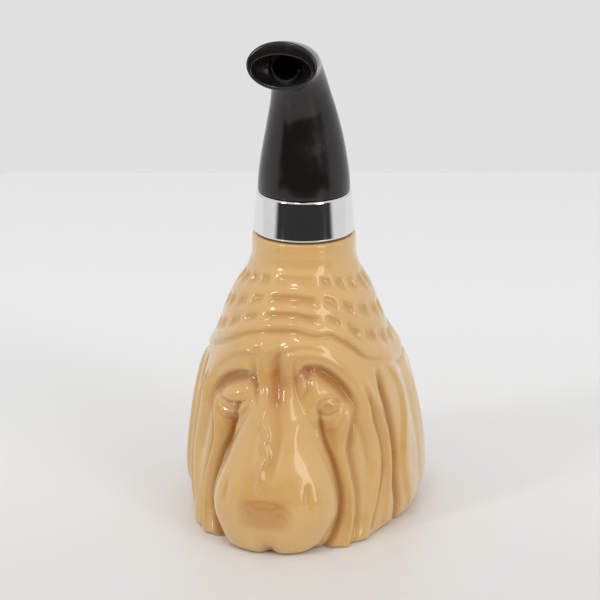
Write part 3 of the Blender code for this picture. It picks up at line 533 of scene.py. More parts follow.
@dataclass(frozen=True)
class CapCloth:
    """The cap's woven checks: rows and columns of soft pits between raised ribs, and the rolled rim.

    Lengths are in millimetres. The rows are written as shares of the height from the crease under the
    rim up to the top of the cloth, so that they fan out down the sides with the rim. Each pair of edges
    is where a fade begins and ends: of rows and columns in pitches from their middle, of the front in
    degrees from its end.
    """

    rim_rise: float = 2.2
    rim_lift: float = 0.75
    rim_width: float = 1.6
    crease_depth: float = 1.0
    crease_width: float = 1.0
    fade_angles: Pair = (42.0, 75.0)
    fade_to: float = 0.55
    cloth_top: float = 80.0
    first_row: float = 0.24
    row_pitch: float = 0.265
    row_depths: tuple[float, ...] = (1.15, 0.98, 0.35)
    front_from: float = -16.5
    front_to: float = 28.5
    column_degrees: float = 14.5
    side_depth: float = 0.85
    edge_lift: float = 0.12
    ring_height: float = 84.0
    ring_lift: float = 0.12
    ring_width: float = 0.35
    ring_step: float = 2.0
    roll_spread: float = 1.35
    row_edges: Pair = (0.06, 0.40)
    column_edges: Pair = (0.16, 0.46)
    front_edges: Pair = (8.5, 1.0)
    ridge_place: float = 0.42
    ridge_width: float = 0.09

    def relief(self, angle: np.ndarray, height: np.ndarray, form: HeadForm) -> np.ndarray:
        """Relief of the cloth, its rim and the crease under it, in millimetres.

        Args:
            angle: angles from the middle of the face, -180 to 180.
            height: heights above the standing plane.
            form: the plain head.

        Returns:
            The lift at each place.
        """
        crease = form.crease(angle)
        above = height - crease
        roll = (above - self.rim_rise) / self.rim_width
        lift = self.rim_lift * np.exp(-(np.where(roll > 0, roll / self.roll_spread, roll) ** 2))
        lift = lift - self.crease_depth * np.exp(-((above / self.crease_width) ** 2))
        lift = lift * (1.0 - (1.0 - self.fade_to) * smooth_step(np.abs(angle), *self.fade_angles))
        ring = (height - self.ring_height) / self.ring_width
        lift = lift + self.ring_lift * (np.exp(-(ring**2)) - np.exp(-((ring - self.ring_step) ** 2)))
        row = (above / (self.cloth_top - crease) - self.first_row) / self.row_pitch
        nearest = np.clip(np.round(row), 0, len(self.row_depths) - 1).astype(int)
        off = np.abs(row - nearest)
        in_row = 1.0 - smooth_step(off, *self.row_edges)
        edge = np.exp(-(((off - self.ridge_place) / self.ridge_width) ** 2))
        turn = np.where(angle > self.front_to, angle - self.front_to, self.front_from - angle)
        column = np.maximum(turn, 0.0) / self.column_degrees
        in_column = 1.0 - smooth_step(np.abs(column - np.floor(column) - 0.5), *self.column_edges)
        front = (angle > self.front_from) & (angle < self.front_to)
        half = (self.front_to - self.front_from) / 2
        middle = np.abs(angle - (self.front_to + self.front_from) / 2)
        in_front = 1.0 - smooth_step(middle, *(half - inset for inset in self.front_edges))
        depth = np.where(front, np.array(self.row_depths)[nearest] * in_front, self.side_depth * in_column)
        return lift - depth * in_row + self.edge_lift * edge * np.where(front, in_front, 0.0)


@dataclass
class HoundBottle:
    """The lacquered glass bottle: the hound's head with its hollow, and the clear screw neck.

    Lengths are in millimetres. The bends are (across, up) shares of the rounding that they lie on, and
    the slacks are how far past a surface its points are still looked for.
    """

    columns: int = 352
    drum_rows: int = 204
    neck_rows: int = 34
    hollow_rows: int = 10
    inner_drum: float = 30.0
    wall: float = 4.6
    floor: float = 5.2
    hollow_foot: float = 7.0
    hollow_bend: tuple[Pair, ...] = ((0.9, 0.0), (0.3, 0.35))
    ceiling_share: float = 0.75
    throat_rise: float = 1.0
    heel: float = 1.8
    heel_steps: int = 8
    shoulder_band: float = 1.5
    face_turn: float = -0.7
    neck_radius: float = 8.9
    neck_height: float = 9.3
    bore: float = 6.8
    lip_edge: float = 0.6
    shelf_gap: float = 0.1
    ring_width: float = 6.0
    push_up: float = 1.6
    push_up_edge: float = 3.2
    push_up_bend: Pair = (0.5, 0.7)
    shoulder_edge: float = 1.0
    jaw_column: float = 50.0
    ear_column: float = 122.0
    ear_angle: float = 86.0
    crease_row: float = 0.64
    crease_crowding: float = 0.25
    thread_start: float = 2.3
    thread_half: float = 0.95
    thread_rise: float = 0.85
    thread_span: Pair = (0.0, 575.0)
    neck_flare: float = 0.5
    flare_height: float = 1.2
    top_fade: float = 0.8
    # Depth of a recess, in mm, at which its painted shade is full
    shade_depth: float = 1.9
    wide_slack: float = 0.5
    slack: float = 0.2
    wall_slack: float = 0.05
    form: HeadForm = field(default_factory=HeadForm)
    cloth: CapCloth = field(default_factory=CapCloth)

    def profile(self) -> Points:
        """The blank's section, from the floor of the hollow out over the lip to the base, in mm."""
        shelf = self.form.height + self.shoulder_band
        lip = shelf + self.neck_height
        ceiling = self.form.height - self.wall
        inner = [(0.0, self.floor)]
        inner += [(self.inner_drum - self.hollow_foot * across, self.floor + self.hollow_foot * up)
                  for across, up in self.hollow_bend]
        inner += upright(self.inner_drum, self.floor + self.hollow_foot, ceiling - self.wall / 2,
                         self.hollow_rows)
        inner += [(self.inner_drum * self.ceiling_share, ceiling), (self.bore, ceiling + self.throat_rise)]
        edge = self.lip_edge
        neck = [(self.bore, lip - edge), *rounded(self.bore, lip, edge, -edge)[1:]]
        neck += rounded(self.neck_radius, lip, -edge, -edge, from_level=True)
        neck += upright(self.neck_radius, lip - edge, shelf + self.shelf_gap, self.neck_rows)[1:]
        drum = self.form.half_width
        plain = float(self.form.plan(np.array([90.0]), np.array([self.form.height]))[0])
        shelf_top = shelf - self.shelf_gap
        outer = rounded(drum, shelf_top, -self.shoulder_edge * drum / plain, -self.shoulder_edge,
                        from_level=True)
        outer += upright(drum, shelf_top - self.shoulder_edge, self.heel, self.drum_rows)[1:]
        outer += rounded(drum, 0.0, -self.heel, self.heel, self.heel_steps)[1:]
        ring = drum - self.heel - self.ring_width
        across, up = self.push_up_bend
        outer += [(ring, 0.0), (ring - self.push_up_edge * across, self.push_up * up)]
        outer += [(ring - self.push_up_edge, self.push_up), (0.0, self.push_up)]
        return inner + neck + outer

    def even_to_angle(self, even: np.ndarray, height: np.ndarray) -> np.ndarray:
        """Crowds the evenly spun columns towards the face, one of them along the jaw.

        Args:
            even: the angles as spun.
            height: heights above the standing plane.

        Returns:
            The angle of each point on the carved head.
        """
        jaw = self.form.muzzle_half(height)
        spread = np.abs(even)
        inside = jaw * spread / self.jaw_column
        past_jaw = (spread - self.jaw_column) / (self.ear_column - self.jaw_column)
        past_ear = (spread - self.ear_column) / (180.0 - self.ear_column)
        cheek = jaw + (self.ear_angle - jaw) * past_jaw
        behind = self.ear_angle + (180.0 - self.ear_angle) * past_ear
        angle = np.where(spread < self.jaw_column, inside, np.where(spread < self.ear_column, cheek, behind))
        return angle * np.sign(even)

    def row_to_height(self, row: np.ndarray, angle: np.ndarray) -> np.ndarray:
        """Bends the level rows so that one of them follows the crease under the cap's rim.

        Args:
            row: heights of the level rows.
            angle: angles from the middle of the face.

        Returns:
            The height of each point on the carved head.
        """
        low, top = self.heel, self.form.height
        crease = self.form.crease(angle)
        middle = self.crease_row * self.form.height
        below = (row - low) / (middle - low)
        above = (row - middle) / (top - middle)
        below = low + (crease - low) * (below + self.crease_crowding * below * (1 - below))
        above = crease + (top - crease) * (above - self.crease_crowding * above * (1 - above))
        inside = (row > low) & (row < top)
        return np.where(inside, np.where(row < middle, below, above), row)

    def build(self) -> bpy.types.Object:
        """Spins the blank, carves it and returns the bottle."""
        piece = turned_piece("hound_bottle", self.profile(), self.columns, 0.0)
        mesh = piece.data
        places = read_places(mesh)
        radius = np.hypot(places[:, 0], places[:, 1])
        even = np.degrees(np.arctan2(places[:, 0], -places[:, 1]))
        row = places[:, 2].copy()
        top = self.form.height
        shelf = top + self.shoulder_band
        floor = self.floor - self.wide_slack
        hollow = (row > floor) & (row < top - self.wall + self.slack)
        hollow &= radius < self.inner_drum + self.wide_slack
        past_bore = radius > self.bore + self.slack
        outer = (row < shelf) & ~hollow & past_bore | (row < floor)
        neck = (row > shelf) & past_bore
        level = np.clip(row, 0.0, top)
        angle = self.even_to_angle(even, level)
        level = np.where(outer, self.row_to_height(level, angle), level)
        angle = np.where(outer | hollow, self.even_to_angle(even, level), even)
        plain = self.form.body(angle, level)
        carving, shade_amount = self.carve(angle, level)
        new = radius.copy()
        new[outer] = (radius / self.form.half_width * (plain + carving))[outer]
        new[hollow] = (radius / self.inner_drum * (plain - self.wall))[hollow]
        turn = np.degrees(np.arctan2(places[:, 1], places[:, 0])) % 360.0
        screw = screw_thread(turn, row, shelf + self.thread_start, self.thread_half, self.thread_span)
        root = smooth_step(row, shelf + self.shelf_gap, shelf + self.flare_height)
        proud = self.thread_rise * screw + self.neck_flare * (1 - root)
        new[neck] = (radius + proud * (radius > self.neck_radius - self.wall_slack))[neck]
        places[:, 2] = np.where((outer | hollow) & (row < top), level, row)
        turned = np.radians(angle + np.where(outer | hollow, self.face_turn, 0.0))
        places[:, 0] = new * np.sin(turned)
        places[:, 1] = -new * np.cos(turned) + NECK_SETBACK
        write_places(mesh, places)
        # Painted shade: how much darker, more orange colour each outer point gets, in the recesses and on the
        # shaded pads
        painted_shade = mesh.attributes.new("painted_shade", "FLOAT", "POINT")
        painted_shade.data.foreach_set("value", np.where(outer, shade_amount, 0.0).astype(np.float32))
        self.part_glass(mesh, outer)
        return piece

    def carve(self, angle: np.ndarray, height: np.ndarray) -> tuple[np.ndarray, np.ndarray]:
        """All the carving at each place.

        Args:
            angle: angles from the middle of the face.
            height: heights above the standing plane.

        Returns:
            The relief in millimetres, and the painted shade at each place, 0 to 1, from how deep it lies in a
            recess and from the shaded pads.
        """
        arc = self.form.half_width * math.pi / 180.0
        relief = self.cloth.relief(angle, height, self.form)
        for mark in face_strokes():
            relief = relief + mark.relief(angle, height, arc)
        fade = smooth_step(self.form.height - height, 0.0, self.top_fade)
        # Painted shade: deeper recesses and the listed shade pads get a darker lacquer colour
        shade_tint = np.clip(-relief / self.shade_depth, 0.0, 1.0) * fade
        for shade_pad in PAINTED_SHADE_PADS:
            shade_tint = shade_tint + shade_pad.relief(angle, height, arc)
        return relief * fade, np.clip(shade_tint, 0.0, 1.0)

    def part_glass(self, mesh: bpy.types.Mesh, outer: np.ndarray) -> None:
        """Gives the lacquer to every face that touches the outside, and clear glass to the rest.

        Args:
            mesh: the bottle.
            outer: for each point, whether it lies on the outside of the head, shoulder or base.
        """
        corners = np.empty(len(mesh.loops), np.int32)
        mesh.loops.foreach_get("vertex_index", corners)
        starts = np.empty(len(mesh.polygons), np.int32)
        mesh.polygons.foreach_get("loop_start", starts)
        lacquered = np.logical_or.reduceat(outer[corners], starts)
        mesh.polygons.foreach_set("material_index", (~lacquered).astype(np.int32))

    def dress(self, bottle: bpy.types.Object, lacquer: bpy.types.Material,
              glass: bpy.types.Material) -> None:
        """Lacquers the bottle, leaves its neck clear and hangs it on its body."""
        bottle.data.materials.append(lacquer)
        bottle.data.materials.append(glass)
        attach(bottle, "bottle")
        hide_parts("glass_bottle")


def quarter(steps: int) -> list[float]:
    """Angles from 0 to a quarter turn, in even steps."""
    return [math.pi / 2 * k / steps for k in range(steps + 1)]


def rounded(radius: float, height: float, across: float, up: float, steps: int = 4,
            from_level: bool = False) -> Points:
    """Rounds a corner of a section.

    Args:
        radius: radius of the sharp corner.
        height: height of the sharp corner.
        across: how far the rounding reaches along the level face, outwards positive.
        up: how far it reaches along the wall, upwards positive.
        steps: its steps.
        from_level: whether it runs from the level face to the wall, and not the other way.

    Returns:
        The points of the rounding.
    """
    ways = [(math.cos(a), math.sin(a)) for a in quarter(steps)]
    if from_level:
        ways = [(other, one) for one, other in ways]
    return [(radius + across * (1 - one), height + up * (1 - other)) for one, other in ways]


def upright(radius: float, start: float, end: float, rows: int) -> Points:
    """Evenly spaced points of a section's upright wall, both ends included."""
    return [(radius, start + (end - start) * k / rows) for k in range(rows + 1)]


def broken_edges(radius: float, top: float, low: float, edge: float, share: float) -> Points:
    """The broken outer edges of a disc or a cup.

    Args:
        radius: its outer radius.
        top: height of its upper face.
        low: height of its lower face.
        edge: how far each edge is broken.
        share: how far the middle point of an edge lies in, as a share of the break.

    Returns:
        Three points of the upper edge and three of the lower, from the top down.
    """
    steps = ((1.0, 0.0), (share, share), (0.0, 1.0))
    upper = [(radius - edge * inwards, top - edge * off) for inwards, off in steps]
    return upper + [(radius - edge * inwards, low + edge * off) for inwards, off in reversed(steps)]


def placed(name: str, shape: bmesh.types.BMesh) -> bpy.types.Object:
    """Turns a finished shape into a piece at the origin, shaded smooth."""
    mesh = bpy.data.meshes.new(name)
    shape.to_mesh(mesh)
    shape.free()
    mesh.shade_smooth()
    piece = bpy.data.objects.new(name, mesh)
    bpy.context.scene.collection.objects.link(piece)
    return piece


def read_places(mesh: bpy.types.Mesh) -> np.ndarray:
    """Reads a mesh's points, in millimetres."""
    places = np.empty(len(mesh.vertices) * 3)
    mesh.vertices.foreach_get("co", places)
    return places.reshape(-1, 3) / MM


def write_places(mesh: bpy.types.Mesh, places: np.ndarray) -> None:
    """Writes a mesh's points, given in millimetres."""
    mesh.vertices.foreach_set("co", (places * MM).ravel())
    mesh.update()


def screw_thread(turn: np.ndarray, height: np.ndarray, foot: float, half: float, ends: Pair) -> np.ndarray:
    """Strength of a right-hand screw thread at each place.

    Args:
        turn: angles about the neck axis, 0 to 360.
        height: heights of the points.
        foot: height of the helix at angle 0, first lap.
        half: half the thread's width.
        ends: angles along the helix at which the thread begins and ends.

    Returns:
        From 0 at the root to 1 on the crest.
    """
    start, end = ends
    crest = np.zeros_like(height)
    for lap in range(THREAD_LAPS):
        along = turn + 360.0 * lap
        gap = np.abs(height - (foot + THREAD_LEAD * along / 360.0)) / half
        fade = smooth_step(along, start, start + THREAD_RUN_IN)
        fade = fade * (1.0 - smooth_step(along, end - THREAD_RUN_OUT, end))
        crest = np.maximum(crest, (1.0 - smooth_step(gap, THREAD_LEVEL, 1.0)) * fade)
    return crest


def turned_piece(name: str, profile: Points, steps: int, setback: float = NECK_SETBACK) -> bpy.types.Object:
    """A piece turned about the neck axis, its poles and seam merged and its faces turned outwards.

    Args:
        name: the piece's name.
        profile: its section in millimetres, which closes if its ends don't lie on the axis.
        steps: how many steps make the full turn.
        setback: how far the axis stands back from the origin, in millimetres.

    Returns:
        The piece, placed in the scene.
    """
    shape = bmesh.new()
    points = [shape.verts.new((radius * MM, 0.0, height * MM)) for radius, height in profile]
    edges = [shape.edges.new(pair) for pair in zip(points[:-1], points[1:])]
    if profile[0][0] > 0 and profile[-1][0] > 0:
        edges.append(shape.edges.new((points[-1], points[0])))
    bmesh.ops.spin(shape, geom=points + edges, cent=(0, 0, 0), axis=(0, 0, 1), angle=2 * math.pi,
                   steps=steps, use_merge=True)
    bmesh.ops.remove_doubles(shape, verts=shape.verts, dist=MERGE_WITHIN)
    bmesh.ops.recalc_face_normals(shape, faces=shape.faces)
    bmesh.ops.translate(shape, vec=(0.0, setback * MM, 0.0), verts=shape.verts)
    return placed(name, shape)


@dataclass
class SealingWad:
    """The loose board disc that seals the lip, with the ring that the lip has pressed into it.

    The print's section is (millimetres past its edge, share of its depth).
    """

    bottom: float = 96.2
    thickness: float = 1.2
    radius: float = 9.7
    edge: float = 0.18
    edge_share: float = 1 / 3
    print_radius: float = 7.9
    print_half: float = 0.75
    print_depth: float = 0.14
    print_section: tuple[Pair, ...] = ((0.2, 0.0), (0.0, 0.7), (-0.25, 1.0))
    steps: int = 112

    def build(self) -> bpy.types.Object:
        """Spins the disc and returns it."""
        low, top = self.bottom, self.bottom + self.thickness
        outside, inside = self.print_radius + self.print_half, self.print_radius - self.print_half
        profile = [(0.0, top), *broken_edges(self.radius, top, low, self.edge, self.edge_share)]
        profile += [(outside + past, low + self.print_depth * up) for past, up in self.print_section]
        profile += [(inside - past, low + self.print_depth * up) for past, up in reversed(self.print_section)]
        return turned_piece("sealing_wad", [*profile, (0.0, low)], self.steps)

    def dress(self, wad: bpy.types.Object, board: bpy.types.Material) -> None:
        """Gives the disc its board and hangs it on the body that rises without turning."""
        wad.data.materials.append(board)
        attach(wad, "liner")
        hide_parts("cap_liner")


@dataclass
class InnerCap:
    """The plain white screw cap inside the stem, with its moulded thread."""

    foot: float = 87.1
    ceiling: float = 97.7
    top: float = 99.2
    inner: float = 10.2
    wall: float = 1.8
    edge: float = 0.4
    edge_share: float = 0.3
    mouth_share: float = 1.5
    wall_slack: float = 0.02
    thread_rise: float = 0.85
    thread_half: float = 0.6
    thread_foot: float = 87.31
    thread_span: Pair = (90.0, 560.0)
    rows: int = 60
    steps: int = 144

    def build(self) -> bpy.types.Object:
        """Spins the cup, raises its thread and returns it."""
        profile = [(0.0, self.top)]
        profile += broken_edges(self.inner + self.wall, self.top, self.foot, self.edge, self.edge_share)
        mouth = self.edge * self.mouth_share
        profile += [(self.inner + mouth, self.foot)]
        profile += upright(self.inner, self.foot + mouth, self.ceiling - self.edge, self.rows)
        profile += [(self.inner - self.edge, self.ceiling), (0.0, self.ceiling)]
        cup = turned_piece("inner_cap", profile, self.steps)
        places = read_places(cup.data)
        x, y = places[:, 0], places[:, 1] - NECK_SETBACK
        radius = np.hypot(x, y)
        turn = np.degrees(np.arctan2(y, x)) % 360.0
        wall = np.abs(radius - self.inner) < self.wall_slack
        crest = screw_thread(turn, places[:, 2], self.thread_foot, self.thread_half, self.thread_span)
        share = np.where(wall, (radius - self.thread_rise * crest) / np.maximum(radius, TINY), 1.0)
        places[:, 0] = x * share
        places[:, 1] = y * share + NECK_SETBACK
        write_places(cup.data, places)
        return cup

    def dress(self, cup: bpy.types.Object, plastic: bpy.types.Material) -> None:
        """Gives the cup its plastic and hangs it on the cap."""
        cup.data.materials.append(plastic)
        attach(cup, "cap")
        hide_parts("threaded_insert")


@dataclass
class BrightCollar:
    """The tapered mirror-bright ferrule, its upper and lower edges rolled inwards."""

    foot: float = 87.1
    top: float = 99.25
    foot_radius: float = 15.2
    top_radius: float = 14.08
    wall: float = 0.45
    top_roll: float = 0.85
    foot_roll: float = 0.55
    roll_steps: int = 8
    taper_rows: int = 8
    support: float = 0.12
    foot_share: float = 0.5
    top_share: float = 0.6
    steps: int = 192

    def outer(self, height: float) -> float:
        """Outer radius of the taper at a height."""
        share = (height - self.foot) / (self.top - self.foot)
        return self.foot_radius + (self.top_radius - self.foot_radius) * share

    def build(self) -> bpy.types.Object:
        """Spins the ferrule and returns it."""
        turns = quarter(self.roll_steps)
        high, low = self.top - self.top_roll, self.foot + self.foot_roll
        crown, heel = self.outer(high) - self.top_roll, self.outer(low) - self.foot_roll
        profile = [(crown + self.top_roll * math.sin(a), high + self.top_roll * math.cos(a)) for a in turns]
        taper = np.linspace(high - self.support, low + self.support, self.taper_rows)
        profile += [(self.outer(level), level) for level in taper.tolist()]
        profile += [(heel + self.foot_roll * math.cos(a), low - self.foot_roll * math.sin(a)) for a in turns]
        inner_foot, inner_top = self.foot_roll - self.wall, self.top_roll - self.wall
        profile += [(heel, self.foot + self.wall * self.foot_share), (heel + inner_foot, low)]
        profile += [(self.outer(high) - self.wall, high)]
        profile += [(crown + inner_top * math.sin(a), high + inner_top * math.cos(a))
                    for a in reversed(turns[1:-1])]
        profile += [(crown, self.top - self.wall * self.top_share)]
        return turned_piece("bright_collar", profile, self.steps)

    def dress(self, collar: bpy.types.Object, metal: bpy.types.Material) -> None:
        """Gives the ferrule its bright metal and hangs it on the cap."""
        collar.data.materials.append(metal)
        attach(collar, "cap")
        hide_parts("chrome_collar")


@dataclass(frozen=True)
class Section:
    """One cross-section of the stem: tilt 0 faces up and 90 faces forward. Lengths in millimetres."""

    forward: float
    height: float
    tilt: float
    half_width: float
    half_depth: float
    drop: float = 0.0
    out: float = 0.0

    def frame(self) -> Matrix:
        """The matrix that puts a unit circle in the section's place, in metres."""
        place = Matrix.Translation((0.0, -self.forward * MM, self.height * MM))
        lean = Matrix.Rotation(math.radians(self.tilt), 4, "X")
        shift = Matrix.Translation((0.0, -self.drop * MM, self.out * MM))
        return place @ lean @ shift @ Matrix.Diagonal((self.half_width * MM, self.half_depth * MM, 1.0, 1.0))


def level_ring(height: float, radius: float) -> Section:
    """A round, level section on the neck axis."""
    return Section(0.0, height, 0.0, radius, radius)


@dataclass
class PipeStem:
    """The curved black stem: a hollow tube with a socket for the inner cap and a flared mouthpiece.

    The lip's route is (out of the mouth as a share of the roll, growth in millimetres), and the
    funnel's shares are of its depth.
    """

    foot: float = 87.6
    base: float = 99.4
    skirt_foot: float = 14.41
    skirt_top: float = 13.3
    socket: float = 12.3
    socket_top: float = 99.5
    radius: float = 13.8
    shoulder: float = 0.35
    rise: float = 43.6
    reach: float = 26.2
    wall: float = 2.1
    mouth_tilt: float = 77.0
    lip_roll: float = 0.8
    mouth_drop: float = 1.35
    funnel_depth: float = 5.5
    airway: float = 4.0
    airway_row: int = 11
    skirt_step: float = 0.4
    first_row: float = 0.12
    shoulder_turns: tuple[float, ...] = (0.0, 0.5, 1.05)
    lip_turns: tuple[float, ...] = (0.4, 0.8, 1.2, math.pi / 2)
    lip_route: tuple[Pair, ...] = ((1.0, 1.0), (0.95, 0.55), (0.75, 0.25), (0.3, 0.03), (-0.4, -0.1))
    lip_flatness: float = 0.8
    mouth_shares: Pair = (0.83, 0.62)
    funnel_shares: tuple[float, ...] = (0.12, 0.25, 0.4, 0.52, 0.63, 0.73, 0.82, 0.9, 0.96, 1.0)
    funnel_start: float = 0.18
    funnel_power: float = 1.6
    funnel_top: Pair = (0.97, 0.98)
    funnel_foot: float = 0.15
    airway_gap: float = 0.35
    airway_start: float = 0.4
    airway_steps: int = 3
    drop_power: int = 3
    sides: int = 80
    steps: int = 5

    def tube(self, row: float, inset: float = 0.0) -> Section:
        """Section of the tube between two rows of its table.

        Args:
            row: place along the table, in rows.
            inset: how far the section is drawn in from the outside.

        Returns:
            The section.
        """
        rows = list(range(len(STEM_SHARES)))
        forward, rise, tilt, width, depth = (
            float(smooth_curve(np.array(row), rows, [entry[k] for entry in STEM_SHARES])) for k in range(5))
        return Section(forward * self.reach, self.base + rise * self.rise, tilt * self.mouth_tilt,
                       width * self.radius - inset, depth * self.radius - inset)

    def mouth(self, out: float, width: float, depth: float, drop: float) -> Section:
        """A section at the mouth, moved out along its axis and down in its plane."""
        last = self.tube(len(STEM_SHARES) - 1)
        return Section(last.forward, last.height, last.tilt, width, depth, drop, out)

    def sections(self) -> list[Section]:
        """All cross-sections from the skirt up, round the lip and back down inside."""
        last = len(STEM_SHARES) - 1
        edge = self.shoulder
        route = [level_ring(self.foot, self.skirt_foot),
                 level_ring(self.base - self.skirt_step, self.skirt_top),
                 level_ring(self.base, self.skirt_top)]
        route += [level_ring(self.base + edge * (1 - math.cos(a)), self.radius - edge * (1 - math.sin(a)))
                  for a in self.shoulder_turns]
        route += [self.tube(row) for row in np.linspace(self.first_row, last, last * self.steps)]
        route += self.lip(route[-1])
        route += self.bore()
        return [*route, level_ring(self.socket_top, self.socket), level_ring(self.foot, self.socket)]

    def lip(self, rim: Section) -> list[Section]:
        """Sections round the lip and down the funnel to the airway.

        Args:
            rim: the last section of the outside.

        Returns:
            The sections, from the rim inwards.
        """
        width, depth, roll, drop = rim.half_width, rim.half_depth, self.lip_roll, self.mouth_drop
        route = []
        for a in self.lip_turns:
            inset = roll * (1 - math.cos(a))
            route.append(self.mouth(roll * math.sin(a), width - inset, depth - inset, 0.0))
        wide, tall = self.mouth_shares[0] * width, self.mouth_shares[1] * depth
        for out, grow in self.lip_route:
            route.append(self.mouth(roll * out, wide + grow, tall + grow * self.lip_flatness, drop))
        wide, tall = wide * self.funnel_top[0], tall * self.funnel_top[1]
        foot = self.airway + self.funnel_foot
        for share in self.funnel_shares:
            ease = (max(share - self.funnel_start, 0.0) / (1.0 - self.funnel_start)) ** self.funnel_power
            route.append(self.mouth(-share * self.funnel_depth, wide + (foot - wide) * ease,
                                    tall + (foot - tall) * ease, drop))
        return [*route, self.mouth(-self.funnel_depth - self.airway_gap, self.airway, self.airway, drop)]

    def bore(self) -> list[Section]:
        """Sections of the airway and the hollow behind it, back down to the socket."""
        route = []
        first, count = self.airway_row + self.airway_start, self.airway_row * self.airway_steps
        for row in np.linspace(first, 1.0, count):
            narrow = float(smooth_step(np.array(row), self.airway_row - 1.0, float(self.airway_row)))
            inner = self.tube(row, self.wall)
            width = inner.half_width + (self.airway - inner.half_width) * narrow
            depth = inner.half_depth + (self.airway - inner.half_depth) * narrow
            drop = self.mouth_drop * (inner.forward / self.reach) ** self.drop_power * narrow
            route.append(Section(inner.forward, inner.height, inner.tilt, width, depth, drop))
        return route

    def build(self) -> bpy.types.Object:
        """Draws one ring through all the sections and closes it at the foot."""
        shape = bmesh.new()
        route = [section.frame() for section in self.sections()]
        bmesh.ops.create_circle(shape, cap_ends=False, radius=1.0, segments=self.sides, matrix=route[0])
        first = list(shape.edges)
        ring = first
        for before, after in zip(route[:-1], route[1:]):
            grown = bmesh.ops.extrude_edge_only(shape, edges=ring)["geom"]
            verts = [item for item in grown if isinstance(item, bmesh.types.BMVert)]
            ring = [item for item in grown if isinstance(item, bmesh.types.BMEdge)]
            bmesh.ops.transform(shape, matrix=after @ before.inverted(), verts=verts)
        bmesh.ops.bridge_loops(shape, edges=first + ring)
        bmesh.ops.translate(shape, vec=(0.0, NECK_SETBACK * MM, 0.0), verts=shape.verts)
        bmesh.ops.recalc_face_normals(shape, faces=shape.faces)
        return placed("curved_stem", shape)

    def dress(self, stem: bpy.types.Object, resin: bpy.types.Material) -> None:
        """Gives the stem its black resin and hangs it on the cap."""
        stem.data.materials.append(resin)
        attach(stem, "cap")
        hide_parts("pipe_stem")


class Wiring:
    """A node tree being wired: adds nodes with their settings and joins their sockets."""

    def __init__(self, tree: bpy.types.NodeTree) -> None:
        """Takes the tree to wire."""
        self.tree = tree

    def add(self, kind: str, **settings: object) -> bpy.types.Node:
        """Adds a node.

        Args:
            kind: the node's type name.
            settings: its properties, or the values of its input sockets by name.

        Returns:
            The node.
        """
        node = self.tree.nodes.new(kind)
        for name, value in settings.items():
            if name in node.bl_rna.properties:
                setattr(node, name, value)
            else:
                node.inputs[name.replace("_", " ")].default_value = value
        return node

    def join(self, source: bpy.types.NodeSocket, target: bpy.types.NodeSocket) -> None:
        """Joins an output to an input."""
        self.tree.links.new(source, target)

    def math(self, operation: str, first: object, second: object = 0.0) -> bpy.types.NodeSocket:
        """A Math node of two values or sockets, and its result."""
        node = self.tree.nodes.new("ShaderNodeMath")
        node.operation = operation
        for socket, value in zip(node.inputs, (first, second)):
            if isinstance(value, bpy.types.NodeSocket):
                self.join(value, socket)
            else:
                socket.default_value = value
        return node.outputs[0]

    def rising(self, source: bpy.types.NodeSocket, factor: float, start: float) -> bpy.types.NodeSocket:
        """The start, plus the source times the factor."""
        return self.math("ADD", self.math("MULTIPLY", source, factor), start)

    def noise(self, vector: bpy.types.NodeSocket, **settings: float) -> bpy.types.Node:
        """A noise texture that reads a vector."""
        node = self.add("ShaderNodeTexNoise", **settings)
        self.join(vector, node.inputs["Vector"])
        return node

    def span(self, source: bpy.types.NodeSocket, **settings: object) -> bpy.types.NodeSocket:
        """A Map Range node of a value, and its result."""
        node = self.add("ShaderNodeMapRange", **settings)
        self.join(source, node.inputs["Value"])
        return node.outputs["Result"]

    def blend(self, factor: bpy.types.NodeSocket, first: bpy.types.NodeSocket,
              second: Triple) -> bpy.types.NodeSocket:
        """A colour socket mixed with a set colour."""
        node = self.add("ShaderNodeMix", data_type="RGBA")
        self.join(factor, node.inputs["Factor"])
        self.join(first, node.inputs[MIX_FIRST])
        node.inputs[MIX_SECOND].default_value = (*second, 1.0)
        return node.outputs[MIX_RESULT]


def effect_group(name: str, inputs: dict[str, float],
                 outputs: tuple[str, ...]) -> tuple[Wiring, bpy.types.Node, bpy.types.Node]:
    """Starts a shader node group that several finishes share.

    Args:
        name: the group's name.
        inputs: its inputs and their defaults.
        outputs: its outputs, all of them values.

    Returns:
        The group's wiring, its input node and its output node.
    """
    tree = bpy.data.node_groups.new(name, "ShaderNodeTree")
    for title, default in inputs.items():
        socket = tree.interface.new_socket(title, in_out="INPUT", socket_type="NodeSocketFloat")
        socket.default_value = default
    for title in outputs:
        tree.interface.new_socket(title, in_out="OUTPUT", socket_type="NodeSocketFloat")
    wiring = Wiring(tree)
    return wiring, wiring.add("NodeGroupInput"), wiring.add("NodeGroupOutput")


def waviness_group() -> bpy.types.NodeTree:
    """The slight unevenness of a moulded or poured surface: a broad swell with a finer one on it."""
    wiring, given, out = effect_group("surface waviness", {"Scale": 200.0, "Fine share": 0.3}, ("Height",))
    place = wiring.add("ShaderNodeTexCoord").outputs["Object"]
    broad = wiring.noise(place, Detail=1.0, Roughness=0.4)
    fine = wiring.noise(place, Detail=2.0, Roughness=0.5)
    wiring.join(given.outputs["Scale"], broad.inputs["Scale"])
    wiring.join(wiring.math("MULTIPLY", given.outputs["Scale"], FINE_SCALE), fine.inputs["Scale"])
    swell = wiring.math("MULTIPLY", fine.outputs["Fac"], given.outputs["Fine share"])
    wiring.join(wiring.math("ADD", broad.outputs["Fac"], swell), out.inputs["Height"])
    return wiring.tree


